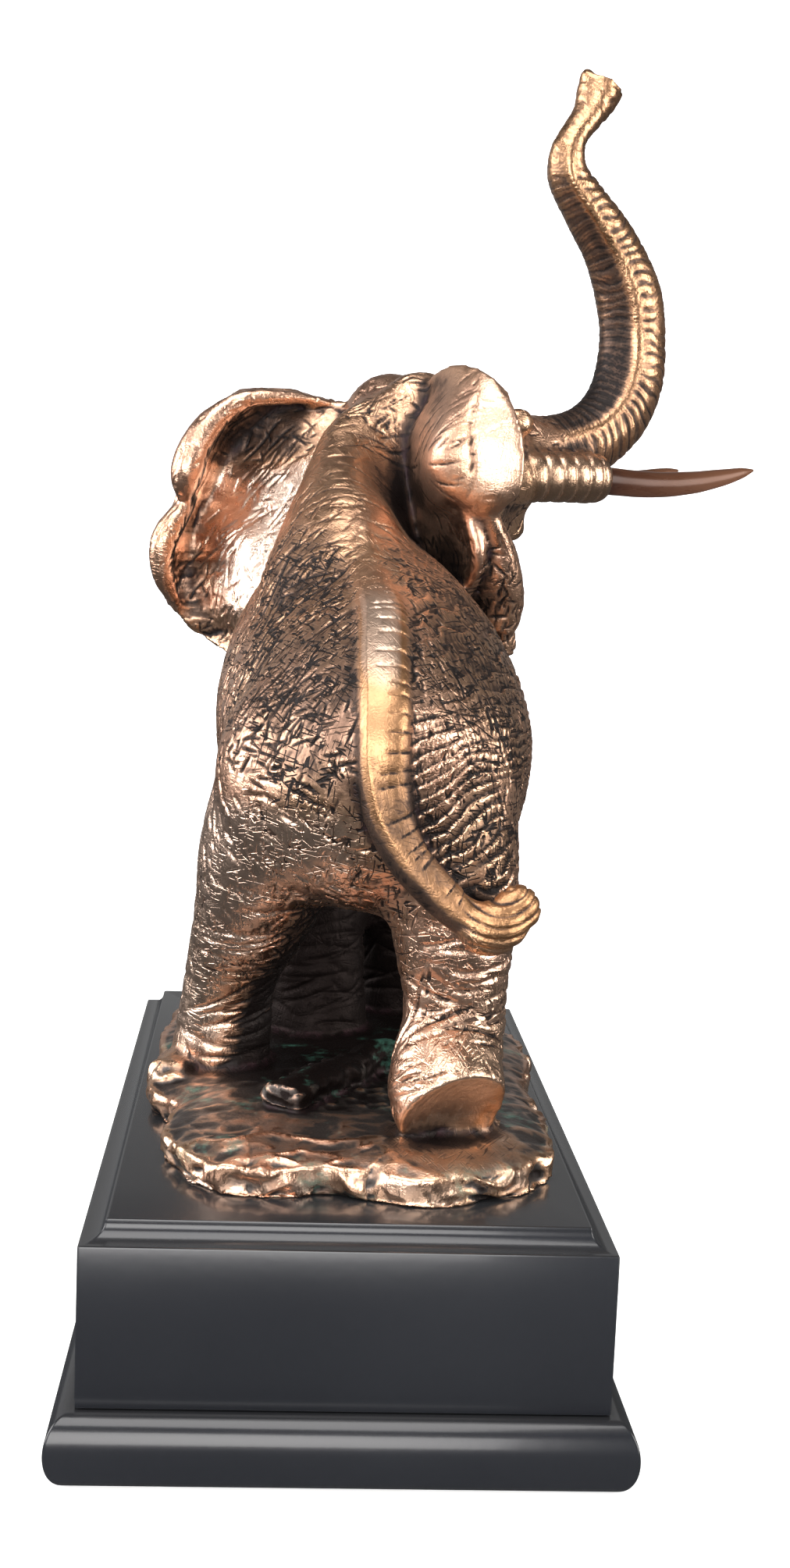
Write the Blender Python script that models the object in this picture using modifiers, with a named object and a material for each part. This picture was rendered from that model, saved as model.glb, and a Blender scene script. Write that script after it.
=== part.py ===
"""Bronze elephant with a raised trunk, walking on a rock, on a moulded black plinth.

The elephant and its rock are one casting. The two tusks are let into their sheaths, and the
plinth is a block on a wider foot board. All sizes below are millimetres; the model is in metres.
The origin is the centre of the plinth's underside, the elephant walks towards +Y, +Z is up.
"""

import math

import bmesh
import bpy
from mathutils import Matrix, Vector

MM = 0.001
GAP = 0.3  # between pieces that touch

# Plinth
BLOCK_WIDTH = 112.0
BLOCK_LENGTH = 206.0
FOOT_HEIGHT = 15.6
FOOT_STAND_OUT = 5.8
BLOCK_HEIGHT = 39.4
COVE_WIDTH = 5.2
COVE_HEIGHT = 4.2
PLINTH_TOP = FOOT_HEIGHT + BLOCK_HEIGHT

# Rock
CASTING_BASE = PLINTH_TOP + GAP  # heights in the casting are above this
ROCK_HEIGHT = 9.5
ROCK_CENTRE_Y = -5.0
GROUND = ROCK_HEIGHT

# Head: its own frame is (forward, left, up) about the middle of the skull
HEAD_CENTRE = Vector((20.0, 60.0, 155.5))
HEAD_TURN = math.radians(62.0)  # to the elephant's right
FORWARD = Vector((math.sin(HEAD_TURN), math.cos(HEAD_TURN), 0.0))
LEFTWARD = Vector((-math.cos(HEAD_TURN), math.sin(HEAD_TURN), 0.0))
UP = Vector((0.0, 0.0, 1.0))

# Ears
EAR_FOLD = 1.3  # half height of the folds at an ear's free edge
EAR_THICKNESS = 3.4
EAR_BACK_THICKNESS = 3.6  # of the right ear's fold that faces back
EAR_LOBE_THICKNESS = 3.2
EAR_BEAD = 2.2  # radius of the rolled edge inside the right ear

# Tusks
TUSK_LENGTH = 57.0
TUSK_RADIUS = 3.9
TUSK_SPREAD = 14.0  # of each sheath from the head's middle
SHEATH_END = 51.0
SOCKET_DEPTH = 5.0
TUSK_SIDES = 16

# Casting surface
CORE_VOXEL = 2.0
CORE_SMOOTHING = 14
VOXEL = 1.3
SMOOTHING = 4
CASTING_FACES = 0.038  # share of the voxel surface's triangles that the casting keeps

SIDES = 28  # round a lofted limb
FOLD_SIDES = 16  # round a fold on an ear's rim


def material(name, colour, roughness, metallic):
    """A plain Principled material in the piece's own colour."""
    made = bpy.data.materials.new(name)
    made.use_nodes = True
    shader = made.node_tree.nodes["Principled BSDF"]
    shader.inputs["Base Color"].default_value = (*colour, 1.0)
    shader.inputs["Roughness"].default_value = roughness
    shader.inputs["Metallic"].default_value = metallic
    return made


def add_object(name, mesh, collection, height=0.0):
    made = bpy.data.objects.new(name, mesh)
    made.location.z = height * MM
    collection.objects.link(made)
    return made


def in_head(forward, left, up):
    """A point of the head's own frame, in the casting's frame."""
    return HEAD_CENTRE + FORWARD * forward + LEFTWARD * left + UP * up


def spline(rows, steps):
    """Catmull-Rom values between rows of numbers, `steps` to a span."""
    values = [Vector(row) for row in rows]
    values = [2 * values[0] - values[1], *values, 2 * values[-1] - values[-2]]
    found = []
    for i in range(1, len(values) - 2):
        before, here, there, after = values[i - 1 : i + 3]
        for step in range(steps):
            t = step / steps
            found.append(
                0.5
                * (
                    2 * here
                    + (there - before) * t
                    + (2 * before - 5 * here + 4 * there - after) * t * t
                    + (3 * here - before - 3 * there + after) * t**3
                )
            )
    found.append(values[-2])
    return found


def superellipse(angle, power):
    """A point on the unit superellipse: power 2 is round, more is squarer, less is ridged."""
    c, s = math.cos(angle), math.sin(angle)
    return (
        math.copysign(abs(c) ** (2 / power), c),
        math.copysign(abs(s) ** (2 / power), s),
    )


def bridge(bm, rings):
    """Closed tube through rings of points, with a face on each end."""
    loops = [[bm.verts.new(point * MM) for point in ring] for ring in rings]
    count = len(loops[0])
    for low, high in zip(loops, loops[1:]):
        for i in range(count):
            j = (i + 1) % count
            bm.faces.new((low[i], low[j], high[j], high[i]))
    bm.faces.new(reversed(loops[0]))
    bm.faces.new(loops[-1])
    bmesh.ops.recalc_face_normals(bm, faces=bm.faces)


def loft(bm, stations, hint, power=2.0, steps=4, sides=SIDES):
    """Limb through stations (x, y, z, half size along hint, half size across it).

    Its sections are superellipses. Power can be a pair, for the side that hint points to and
    for the other side.
    """
    over, under = power if isinstance(power, tuple) else (power, power)
    rows = spline(stations, steps)
    centres = [Vector(row[:3]) for row in rows]
    rings = []
    for i, (centre, row) in enumerate(zip(centres, rows)):
        along, across = row[3], row[4]
        ahead = centres[min(i + 1, len(rows) - 1)] - centres[max(i - 1, 0)]
        side = hint.cross(ahead).normalized()
        deep = ahead.cross(side).normalized()
        ring = []
        for k in range(sides):
            angle = 2 * math.pi * k / sides
            u, v = superellipse(angle, over if math.cos(angle) > 0 else under)
            ring.append(centre + deep * (u * along) + side * (v * across))
        rings.append(ring)
    part = bmesh.new()
    bridge(part, rings)
    merge(bm, part)


def merge(bm, part):
    """Adds a closed shape to the shapes that the casting will be fused from."""
    mesh = bpy.data.meshes.new("shape")
    part.to_mesh(mesh)
    part.free()
    bm.from_mesh(mesh)
    bpy.data.meshes.remove(mesh)


def ball(bm, centre, radii, turn=0.0, tilt=0.0):
    """Ellipsoid, turned about Z and then tilted about its own Y, both in degrees."""
    part = bmesh.new()
    bmesh.ops.create_uvsphere(part, u_segments=24, v_segments=16, radius=1.0)
    place = (
        Matrix.Translation(Vector(centre) * MM)
        @ Matrix.Rotation(math.radians(turn), 4, "Z")
        @ Matrix.Rotation(math.radians(tilt), 4, "Y")
        @ Matrix.Diagonal((*(r * MM for r in radii), 1.0))
    )
    bmesh.ops.transform(part, matrix=place, verts=part.verts)
    merge(bm, part)


def head_ball(bm, forward, left, up, radii, tilt=0.0):
    ball(bm, in_head(forward, left, up), radii, 90 - math.degrees(HEAD_TURN), tilt)


def rolled_edge(bm, edge, radius):
    """Bead along an ear's free edge, tapering into it at both ends."""
    last = len(edge) - 1
    rows = [
        (*point, *[radius * (0.55 + 0.45 * math.sin(math.pi * i / last))] * 2)
        for i, point in enumerate(edge)
    ]
    loft(bm, rows, Vector((0, 1, 0)), steps=5, sides=FOLD_SIDES)


def sheet(bm, rails, thickness, steps=6, waves=0):
    """Curved plate of one thickness through rails, which run from its root to its free edge.

    Waves are the shallow folds that fan out from the root.
    """
    rows = [spline(rail, steps) for rail in rails]
    grid = [spline(column, steps) for column in zip(*rows)]
    for i, column in enumerate(grid):
        for k, point in enumerate(column):
            swell = math.sin(2 * math.pi * waves * k / (len(column) - 1))
            point.y += EAR_FOLD * swell * i / (len(grid) - 1)
    mesh = bpy.data.meshes.new("sheet")
    flat = bmesh.new()
    verts = [[flat.verts.new(point * MM) for point in column] for column in grid]
    for left, right in zip(verts, verts[1:]):
        for i in range(len(left) - 1):
            flat.faces.new((left[i], left[i + 1], right[i + 1], right[i]))
    flat.to_mesh(mesh)
    flat.free()
    plate = bpy.data.objects.new("sheet", mesh)
    bpy.context.scene.collection.objects.link(plate)
    skin = plate.modifiers.new("thickness", "SOLIDIFY")
    skin.thickness = thickness * MM
    skin.offset = 0.0
    graph = bpy.context.evaluated_depsgraph_get()
    bm.from_mesh(plate.evaluated_get(graph).to_mesh())
    bpy.data.objects.remove(plate)
    bpy.data.meshes.remove(mesh)


def body(bm):
    """Rump, barrel, shoulders and neck, narrow along the spine."""
    loft(
        bm,
        [  # x, y, z, half height, half width
            (4, -72, 81.5, 13, 12),
            (4, -65, 83, 24, 23),
            (5, -50, 86, 32, 31.5),
            (5.5, -30, 90, 37, 36.5),
            (5, -8, 94, 42, 38.5),
            (2.5, 15, 98.5, 44, 37.5),
            (-1, 35, 102.5, 43, 33),
            (-2, 50, 107.5, 33, 27),
            (-2, 59, 111.5, 14, 13),
        ],
        UP,
        power=(1.75, 2.2),
    )
    loft(
        bm,
        [  # neck: x, y, z, half height, half width
            (-2, -6, 112, 26, 23),
            (-3, 14, 119.5, 32, 23),
            (-2, 32, 130, 32, 19),
            (3, 46, 143, 29, 15.5),
            (12, 55, 154, 27, 15.5),
            (20, 60, 159, 22, 17),
        ],
        UP,
        power=(1.8, 2.2),
    )
    ball(bm, (18, -45, 85.5), (20, 22, 27), 0, 8)
    ball(bm, (-12, -42, 83.5), (21, 22, 27), 0, -8)
    ball(bm, (22, 24, 95), (15, 20, 32), 0, -6)
    ball(bm, (-20, 22, 95), (14, 20, 32), 0, 6)
    ball(bm, (3, 34, 62), (12, 13, 28))


def legs(bm):
    """Four legs in a slow walk: the right hind leg pushes off, the left one is swung forward."""
    across = Vector((0, 1, 0))
    hind_right = [  # x, y, z, half length, half width
        (19, -43, 87.5, 25, 17),
        (22, -50, 67.5, 22, 15.8),
        (23, -54, 50.5, 16, 14),
        (23.6, -54.5, 39, 13, 12.2),
        (23.4, -57, 31, 12.4, 12.2),
        (22.8, -61, 26.5, 11, 11),
    ]
    ball(bm, (23, -60, GROUND + 4), (12.2, 9, 8))
    hind_left = [
        (-13, -34, 87.5, 25, 18.5),
        (-19.2, -30, 68.5, 23, 17),
        (-22.5, -22, 51.5, 18, 15.2),
        (-27.5, -13, 35.5, 13.5, 12),
        (-29.5, -9, 21.5, 12.5, 12),
        (-30.5, -8, GROUND - 2, 13.6, 13),
    ]
    fore_left = [
        (-16, 32, 92.5, 20, 17),
        (-14, 31, 69.5, 16, 14.5),
        (-9.5, 28, 47.5, 14, 14),
        (-7, 26.5, 29.5, 13.2, 13.8),
        (-6.5, 26, 18.5, 13, 13.8),
        (-6.5, 26, GROUND - 3, 14.6, 15),
    ]
    fore_right = [
        (16, 34, 92.5, 20, 17),
        (16, 38, 69.5, 16, 14.5),
        (17, 42, 47.5, 13.5, 14),
        (17.5, 47, 29.5, 12.6, 13.5),
        (17.5, 50, 18.5, 12.6, 13.5),
        (17.5, 51, GROUND - 3, 14, 14.6),
    ]
    for leg in (hind_right, hind_left, fore_left, fore_right):
        loft(bm, leg, across)


def raised_foot(bm):
    """Right hind foot with its heel up, so that the flat of its sole faces back."""
    loft(
        bm,
        [  # x, y, z, half length, half width
            (23.2, -57, 29.5, 12.2, 12),
            (21.9, -62.5, 24, 12.6, 12.8),
            (21.6, -67.4, 19.4, 12.9, 13.2),
            (23, -71.2, 16.2, 12.4, 12.8),
        ],
        Vector((0, 1, 0)),
    )


def tail(bm):
    """Spine ridge that runs down into the tail, which lies on the right buttock."""
    loft(
        bm,
        [  # x, y, z, half depth, half width
            (-2.5, 19, 151.5, 3.4, 4),
            (-1.6, 1, 143.2, 3.8, 4.8),
            (0.4, -10.4, 134.4, 4, 5.3),
            (3, -27.6, 127, 4.2, 5.7),
            (4.4, -43.4, 122, 4.2, 5.9),
            (4, -60.4, 112.6, 4.3, 6),
            (4.2, -68.8, 105.2, 4.3, 6),
            (4.2, -72.6, 97.7, 4.4, 6),
            (4.6, -73.6, 89.8, 4.4, 5.9),
            (6.4, -74, 80.6, 4.4, 5.4),
            (10.2, -74.8, 73.2, 4.3, 4.9),
            (15, -75.5, 67.8, 4.2, 4.6),
            (21, -76, 62.3, 4, 4.4),
            (26, -76, 59.4, 3.8, 4.2),
        ],
        Vector((0, -0.6, 0.8)),
        power=2.4,
    )
    ball(bm, (29.5, -76.5, 58.8), (8.2, 5.2, 6.2), 16, -16)
    ball(bm, (34.6, -74, 62.6), (5.4, 4.4, 5.8), 26, -40)


def skull(bm):
    """Skull, jaw and cheeks, symmetric about the head's own middle."""
    head_ball(bm, 0, 0, 0, (27, 19, 23))
    head_ball(bm, 20, 0, 4, (20, 15, 15), -14)
    head_ball(bm, 8, 0, -12, (17, 13, 11), 10)
    head_ball(bm, 26, 0, -10, (9, 5.5, 6), 30)
    for side in (-1, 1):
        head_ball(bm, -7, side * 8, 16, (15, 10, 14))
        head_ball(bm, 13, side * 12, 13, (12, 6.5, 9), 10)
        head_ball(bm, 4, side * 14, 0, (14, 9, 15))


def trunk(bm):
    """Trunk with the finger at its tip, tusk sheaths and eyes."""
    for side in (-1, 1):
        head_ball(bm, 18.5, side * 16.5, 17, (5, 3.6, 4))
        loft(
            bm,
            [
                (*in_head(16, side * 10, 0), 7, 7),
                (*in_head(26, side * 12.5, 2.5), 7.2, 7.2),
                (*in_head(38, side * TUSK_SPREAD, 3), 7.2, 7.2),
                (*in_head(47, side * TUSK_SPREAD, 3.2), 7.2, 7.2),
                (*in_head(SHEATH_END, side * TUSK_SPREAD, 3.4), 5.4, 5.4),
            ],
            UP,
        )
    stations = [  # forward, up, half width, half depth
        (16, 6, 14, 15),
        (30, 8, 12, 13),
        (42, 10, 11, 11),
        (54, 14, 10.8, 10.6),
        (63.5, 22, 10.6, 10.8),
        (68.5, 33, 10.2, 11),
        (69, 45, 9.6, 10.6),
        (66.5, 57, 9.8, 10.2),
        (59.6, 69, 8.6, 8.9),
        (50.6, 79, 7.6, 7.4),
        (43.5, 87, 6.2, 6.2),
        (42.3, 93.4, 5.6, 5.4),
        (44.4, 99, 5, 4.2),
        (48.6, 104.4, 5.2, 4.8),
        (51.2, 109.2, 6.2, 6.4),
        (53.3, 114, 6.7, 7.2),
    ]
    loft(
        bm,
        [(*in_head(a, 0, c), wide, deep) for a, c, wide, deep in stations],
        LEFTWARD,
        power=1.75,
    )
    head_ball(bm, 48, 0, 115.2, (2.3, 2.6, 2.6))


def ears(bm):
    """The left ear spreads as a dish with folds over its rim; the right one comes back and folds."""
    left = [  # root, dish, edge, from the top of the ear to its lobe
        [(6, 64, 175.5), (-2, 64, 176.5), (-12, 64, 177.5), (-18, 62, 178.5)],
        [(2, 60, 169.5), (-12, 63, 169.5), (-25, 68, 173), (-32, 60, 178)],
        [(-1, 54, 161.5), (-19, 61, 158.5), (-35, 69, 160.5), (-42.5, 57, 166)],
        [(-5, 48, 149.5), (-24, 56, 146), (-40, 68, 148), (-48, 57, 149)],
        [(-9, 44, 137.5), (-28, 52, 134), (-43.5, 65, 135), (-53.5, 57, 134.5)],
        [(-13, 40, 125.5), (-28, 49, 123), (-41.5, 62, 121), (-50.5, 60, 119.5)],
        [(-17, 38, 115.5), (-26, 47, 114), (-33.5, 57, 111.5), (-40.5, 61, 110.5)],
        [(-19, 36, 109.5), (-23, 46, 107.5), (-27, 52, 106.5), (-31, 56, 104.5)],
    ]
    sheet(bm, left, EAR_THICKNESS, waves=5)
    flaps = [  # x, y, z, radius of the folds that roll over the left ear's rim
        [
            (-7.7, 63, 175.8, 1.3),
            (-15.5, 61, 176.8, 1.9),
            (-21.9, 59, 176.6, 2.3),
            (-29.8, 57, 175.8, 2.7),
            (-36.2, 56, 172.4, 3.3),
            (-40.4, 55, 167.8, 4),
            (-43.4, 54, 162.8, 4.5),
            (-45.2, 53, 157.8, 4.8),
            (-46, 53, 153, 4.3),
            (-46.4, 54, 148.6, 2.4),
        ],
        [
            (-43.5, 58, 150, 1.4),
            (-46, 55.5, 146, 2.7),
            (-49, 53.5, 141.6, 3.6),
            (-51.4, 52.5, 136.8, 3.9),
            (-52, 52.5, 132, 3.7),
            (-51.4, 53.5, 127, 3.1),
            (-49.6, 55.5, 122.6, 2.2),
            (-47.2, 57.5, 118.5, 1.3),
        ],
    ]
    for flap in flaps:
        loft(bm, [(*row, row[3]) for row in flap], Vector((0, 1, 0)), sides=FOLD_SIDES)
    upper = [  # the fold of the right ear that faces back, from the head outwards
        [(19.5, 46, 180), (20.5, 40, 183), (24.9, 29, 185), (31, 20, 183), (36, 14, 178.5)],
        [(18.5, 46, 173.5), (21, 33, 177), (26.6, 19, 178), (32, 14, 177), (38.5, 11, 173)],
        [(13.7, 48, 166), (17.5, 31, 169), (23.2, 14, 170), (32, 10.5, 169.5), (40.7, 9, 166)],
        [(14.2, 48, 156), (17, 30, 158), (19.8, 13.5, 161), (31, 9, 159.5), (41, 8, 157.5)],
        [(14.6, 48, 148), (18.5, 34, 149), (22, 15.5, 152.5), (32, 9, 152), (40, 9, 152.5)],
        [(13, 49, 145), (19.5, 36, 146.5), (25, 18, 149), (31, 12.5, 147.5), (34, 14, 147.5)],
    ]
    sheet(bm, upper, EAR_BACK_THICKNESS)
    lower = [  # the inner part of the right ear, that runs down beside the neck
        [(12, 50, 153), (17.5, 34, 153), (22, 24, 152.5), (26, 15, 150.5)],
        [(10, 50, 144), (18, 36, 145), (23.5, 26, 145.5), (28.5, 14, 145)],
        [(11, 50, 136), (20.5, 37, 137), (26, 28, 137.5), (31, 14, 137)],
        [(12, 50, 129), (23.5, 38, 129.5), (27.5, 29, 130), (30.2, 19, 130.5)],
        [(14, 50, 121), (27, 39, 122.5), (29.3, 33, 123.5), (29.8, 26, 125)],
    ]
    sheet(bm, lower, EAR_THICKNESS)
    rolled_edge(bm, [rail[-1] for rail in lower], EAR_BEAD)
    lobe = [  # the part that turns forward again, from the fold down
        [(29, 16, 150), (31, 13.5, 149.5), (33.4, 13, 148.5), (35, 20, 147)],
        [(30, 20, 143), (33, 15, 143.5), (36.2, 14, 143.2), (38, 24, 142)],
        [(31, 22, 137), (35, 17, 138), (39.2, 17, 138.3), (41, 28, 137.5)],
        [(31.5, 26, 130), (36, 19, 130.5), (41.3, 20, 131), (43.2, 32, 130)],
        [(31, 36, 123.5), (35, 26, 123), (42.5, 24, 124), (44, 35, 123)],
        [(31, 38, 120.5), (35.2, 28, 118.4), (40, 26, 116), (43, 32, 117)],
    ]
    sheet(bm, lobe, EAR_LOBE_THICKNESS)
    under = [  # the tip of the right ear, under its lobe
        [(35, 36, 119), (39.5, 31, 118.5), (43, 35, 118.5)],
        [(36.5, 40, 114.5), (40.3, 33, 113.8), (43.8, 37, 113.8)],
        [(38, 42, 111), (40.6, 35, 109.6), (43.6, 38, 109.6)],
    ]
    sheet(bm, under, EAR_LOBE_THICKNESS)


def rock_outline():
    """Foot of the rock, seen from above."""
    corners = [
        (0, -80),
        (14, -86.5),
        (30, -84),
        (42, -70),
        (46, -48),
        (45, -20),
        (47, 10),
        (44, 42),
        (34, 68),
        (8, 77),
        (-22, 74),
        (-40, 58),
        (-45, 28),
        (-44, -2),
        (-44, -22),
        (-39, -40),
        (-40, -58),
        (-32, -75),
        (-18, -84),
    ]
    lead = 3  # corners repeated at both ends, so that the outline closes smoothly
    steps = 5
    closed = [*corners[-lead:], *corners, *corners[:lead]]
    points = spline([(x, y, 0) for x, y in closed], steps)
    return points[lead * steps : (lead + len(corners)) * steps]


def rock(bm):
    """Slab with an uneven, bulging edge, a boulder at its left and a broken branch with a snag."""
    outline = rock_outline()
    middle = Vector((0, ROCK_CENTRE_Y, 0))
    profile = [  # height, how far the edge stands out
        (-2.0, -1.0),
        (1.0, 0.0),
        (3.4, 1.6),
        (5.6, 1.0),
        (7.2, -2.0),
        (8.6, -8.0),
        (9.6, -22.0),
    ]
    rings = []
    for height, outset in profile:
        ring = []
        for k, point in enumerate(outline):
            angle = 2 * math.pi * k / len(outline)
            uneven = 0.9 * math.sin(7 * angle + 0.6) + 0.7 * math.sin(12 * angle + 2)
            outward = (point - middle).normalized()
            ring.append(point + outward * (outset + uneven) + UP * height)
        rings.append(ring)
    part = bmesh.new()
    bridge(part, rings)
    merge(bm, part)
    ball(bm, (-41, -16, 7), (6, 10, 5.5), turn=8)
    branch = [
        (-15, -53, GROUND + 2.2, 4.4, 4.6),
        (-8, -42.5, GROUND + 2.6, 4.4, 4.4),
        (1, -28, GROUND + 2.4, 4.2, 4.2),
        (12, -14, GROUND + 1.5, 3.8, 3.8),
    ]
    snag = [
        (3, -22, GROUND + 2, 2.5, 3.5),
        (8, -19, GROUND + 4.5, 3.6, 4.4),
        (14, -16, GROUND + 3.5, 3.2, 4),
        (18, -13, GROUND + 1, 2, 3),
    ]
    loft(bm, branch, UP)
    loft(bm, snag, UP)


def fuse(made, voxel, smoothing):
    """Makes one closed, softened skin of the overlapping shapes in a mesh object."""
    skin = made.modifiers.new("fuse", "REMESH")
    skin.mode = "VOXEL"
    skin.voxel_size = voxel * MM
    soften = made.modifiers.new("soften", "SMOOTH")
    soften.factor = 0.5
    soften.iterations = smoothing


def casting(collection, finish):
    """The large forms are fused and softened first, then the thin ones are fused on to them."""
    bm = bmesh.new()
    for shapes in (body, legs, skull):
        shapes(bm)
    core_mesh = bpy.data.meshes.new("core")
    bm.to_mesh(core_mesh)
    bm.free()
    core = add_object("core", core_mesh, collection)
    fuse(core, CORE_VOXEL, CORE_SMOOTHING)
    graph = bpy.context.evaluated_depsgraph_get()
    core_skin = bpy.data.meshes.new_from_object(core.evaluated_get(graph))
    bpy.data.objects.remove(core)

    bm = bmesh.new()
    bm.from_mesh(core_skin)
    bpy.data.meshes.remove(core_skin)
    for shapes in (raised_foot, tail, trunk, ears, rock):
        shapes(bm)
    mesh = bpy.data.meshes.new("elephant_casting")
    bm.to_mesh(mesh)
    bm.free()
    made = add_object("elephant_casting", mesh, collection, CASTING_BASE)
    made.data.materials.append(finish)
    fuse(made, VOXEL, SMOOTHING)
    thin = made.modifiers.new("thin", "DECIMATE")
    thin.ratio = CASTING_FACES
    return made


def cut(made, cutter):
    """Takes a closed cutter away from a piece."""
    cutter.hide_render = True
    cutter.display_type = "WIRE"
    difference = made.modifiers.new(cutter.name, "BOOLEAN")
    difference.operation = "DIFFERENCE"
    difference.object = cutter


def box_cutter(name, low, high, collection):
    bm = bmesh.new()
    bmesh.ops.create_cube(bm, size=1.0)
    size = Vector(high) - Vector(low)
    middle = (Vector(high) + Vector(low)) / 2
    place = Matrix.Translation(middle * MM) @ Matrix.Diagonal((*(size * MM), 1.0))
    bmesh.ops.transform(bm, matrix=place, verts=bm.verts)
    mesh = bpy.data.meshes.new(name)
    bm.to_mesh(mesh)
    bm.free()
    return add_object(name, mesh, collection, CASTING_BASE)


def tusk_path(side, start, grow):
    """Stations along a tusk from `start` behind the sheath's end; grow thickens it."""
    rows = []
    count = 9
    for i in range(count):
        t = i / (count - 1)
        reach = t * TUSK_LENGTH
        radius = TUSK_RADIUS * math.sqrt(max(1 - t**2.4, 0.012)) + grow
        left = side * (TUSK_SPREAD + 3.5 * t)
        up = 3.0 - 2.8 * math.sin(math.pi * t) + 4.9 * t
        rows.append((*in_head(SHEATH_END - start + reach, left, up), radius, radius))
    return rows


def tusk(name, side, collection, finish=None, grow=0.0):
    bm = bmesh.new()
    rows = tusk_path(side, SOCKET_DEPTH, grow)
    if finish is None:
        rows = rows[:3]
        rows[0] = (*(Vector(rows[0][:3]) - FORWARD * GAP), *rows[0][3:])
    loft(bm, rows, UP, steps=1, sides=TUSK_SIDES)
    mesh = bpy.data.meshes.new(name)
    bm.to_mesh(mesh)
    bm.free()
    made = add_object(name, mesh, collection, CASTING_BASE)
    if finish:
        made.data.materials.append(finish)
        made.data.shade_smooth()
    return made


def moulded_board(name, width, length, profile, collection, finish):
    """Rectangular board whose edge follows a profile of (inset, height), mitred at its corners."""
    bm = bmesh.new()
    rings = []
    for inset, height in profile:
        x, y = width / 2 - inset, length / 2 - inset
        rings.append(
            [Vector((sx * x, sy * y, height)) for sx, sy in ((-1, -1), (1, -1), (1, 1), (-1, 1))]
        )
    bridge(bm, rings)
    mesh = bpy.data.meshes.new(name)
    bm.to_mesh(mesh)
    bm.free()
    made = add_object(name, mesh, collection)
    made.data.materials.append(finish)
    return made


def foot_board(collection, finish):
    """Wide board with a bull-nosed edge."""
    half = FOOT_HEIGHT / 2
    profile = []
    for k in range(13):
        angle = -math.pi / 2 + math.pi * k / 12
        inset = FOOT_STAND_OUT * 0.8 * (1 - math.cos(angle))
        profile.append((inset, half + half * math.sin(angle)))
    return moulded_board(
        "plinth_foot",
        BLOCK_WIDTH + 2 * FOOT_STAND_OUT,
        BLOCK_LENGTH + 2 * FOOT_STAND_OUT,
        profile,
        collection,
        finish,
    )


def block(collection, finish):
    """Upright block with a cove cut along its top edge."""
    low = FOOT_HEIGHT + GAP
    shoulder = PLINTH_TOP - COVE_HEIGHT
    lip = 0.7
    profile = [(0, low), (0, shoulder - 0.3), (0.3, shoulder)]
    for k in range(9):
        angle = math.pi / 2 * k / 8
        profile.append(
            (
                lip + (COVE_WIDTH - lip) * math.sin(angle),
                PLINTH_TOP - 0.5 - (COVE_HEIGHT - 0.5) * math.cos(angle),
            )
        )
    profile.append((COVE_WIDTH + 0.5, PLINTH_TOP))
    return moulded_board("plinth_block", BLOCK_WIDTH, BLOCK_LENGTH, profile, collection, finish)


def main():
    for old in list(bpy.data.objects):
        bpy.data.objects.remove(old)
    pieces = bpy.data.collections.new("bronze_elephant")
    cutters = bpy.data.collections.new("cutters")
    for collection in (pieces, cutters):
        bpy.context.scene.collection.children.link(collection)

    bronze = material("copper_bronze", (0.45, 0.24, 0.13), 0.35, 1.0)
    horn = material("dark_tusk", (0.16, 0.07, 0.04), 0.4, 0.3)
    black = material("black_lacquer", (0.02, 0.021, 0.024), 0.35, 0.0)

    elephant = casting(pieces, bronze)
    cut(
        elephant,
        box_cutter("underside", (-80, -120, -20), (80, 120, 0), cutters),
    )
    for name, side in (("tusk_left", 1), ("tusk_right", -1)):
        tusk(name, side, pieces, horn)
        cut(elephant, tusk(name + "_socket", side, cutters, grow=GAP))
    foot_board(pieces, black)
    block(pieces, black)


main()
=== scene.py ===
import math
import random

import bmesh
import bpy
import numpy as np
from mathutils import Matrix, Vector, noise
from mathutils.bvhtree import BVHTree
from mathutils.kdtree import KDTree


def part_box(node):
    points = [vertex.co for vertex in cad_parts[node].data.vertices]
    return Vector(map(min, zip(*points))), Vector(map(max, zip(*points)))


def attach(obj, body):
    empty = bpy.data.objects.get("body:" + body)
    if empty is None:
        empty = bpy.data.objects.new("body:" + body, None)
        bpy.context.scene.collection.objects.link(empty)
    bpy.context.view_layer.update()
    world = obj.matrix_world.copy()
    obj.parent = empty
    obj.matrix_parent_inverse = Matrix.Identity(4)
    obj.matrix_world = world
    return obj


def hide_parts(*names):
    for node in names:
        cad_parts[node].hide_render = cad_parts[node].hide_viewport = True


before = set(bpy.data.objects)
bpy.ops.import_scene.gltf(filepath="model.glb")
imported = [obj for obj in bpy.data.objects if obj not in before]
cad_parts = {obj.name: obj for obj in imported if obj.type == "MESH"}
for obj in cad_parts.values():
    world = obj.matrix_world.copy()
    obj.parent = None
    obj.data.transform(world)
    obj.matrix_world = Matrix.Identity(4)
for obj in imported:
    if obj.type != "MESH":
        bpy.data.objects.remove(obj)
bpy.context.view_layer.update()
mm = 0.001
up = Vector((0, 0, 1))
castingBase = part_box("elephant_casting")[0].z / mm  # the casting's heights are above this
rng = random.Random(20)


def clamp(values, low=0.0, high=1.0):
    return np.minimum(np.maximum(values, low), high)


def ramp(values, low, high):
    t = clamp((values - low) / (high - low))
    return t * t * (3 - 2 * t)


def spline(rows, steps):
    values = [Vector(row) for row in rows]
    values = [2 * values[0] - values[1], *values, 2 * values[-1] - values[-2]]
    found = []
    for i in range(1, len(values) - 2):
        before, here, there, after = values[i - 1 : i + 3]
        for step in range(steps):
            t = step / steps
            found.append(
                0.5
                * (
                    2 * here
                    + (there - before) * t
                    + (2 * before - 5 * here + 4 * there - after) * t * t
                    + (3 * here - before - 3 * there + after) * t**3
                )
            )
    found.append(values[-2])
    return found


def superellipse(angle, power):
    c, s = math.cos(angle), math.sin(angle)
    return (
        math.copysign(abs(c) ** (2 / power), c),
        math.copysign(abs(s) ** (2 / power), s),
    )


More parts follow.
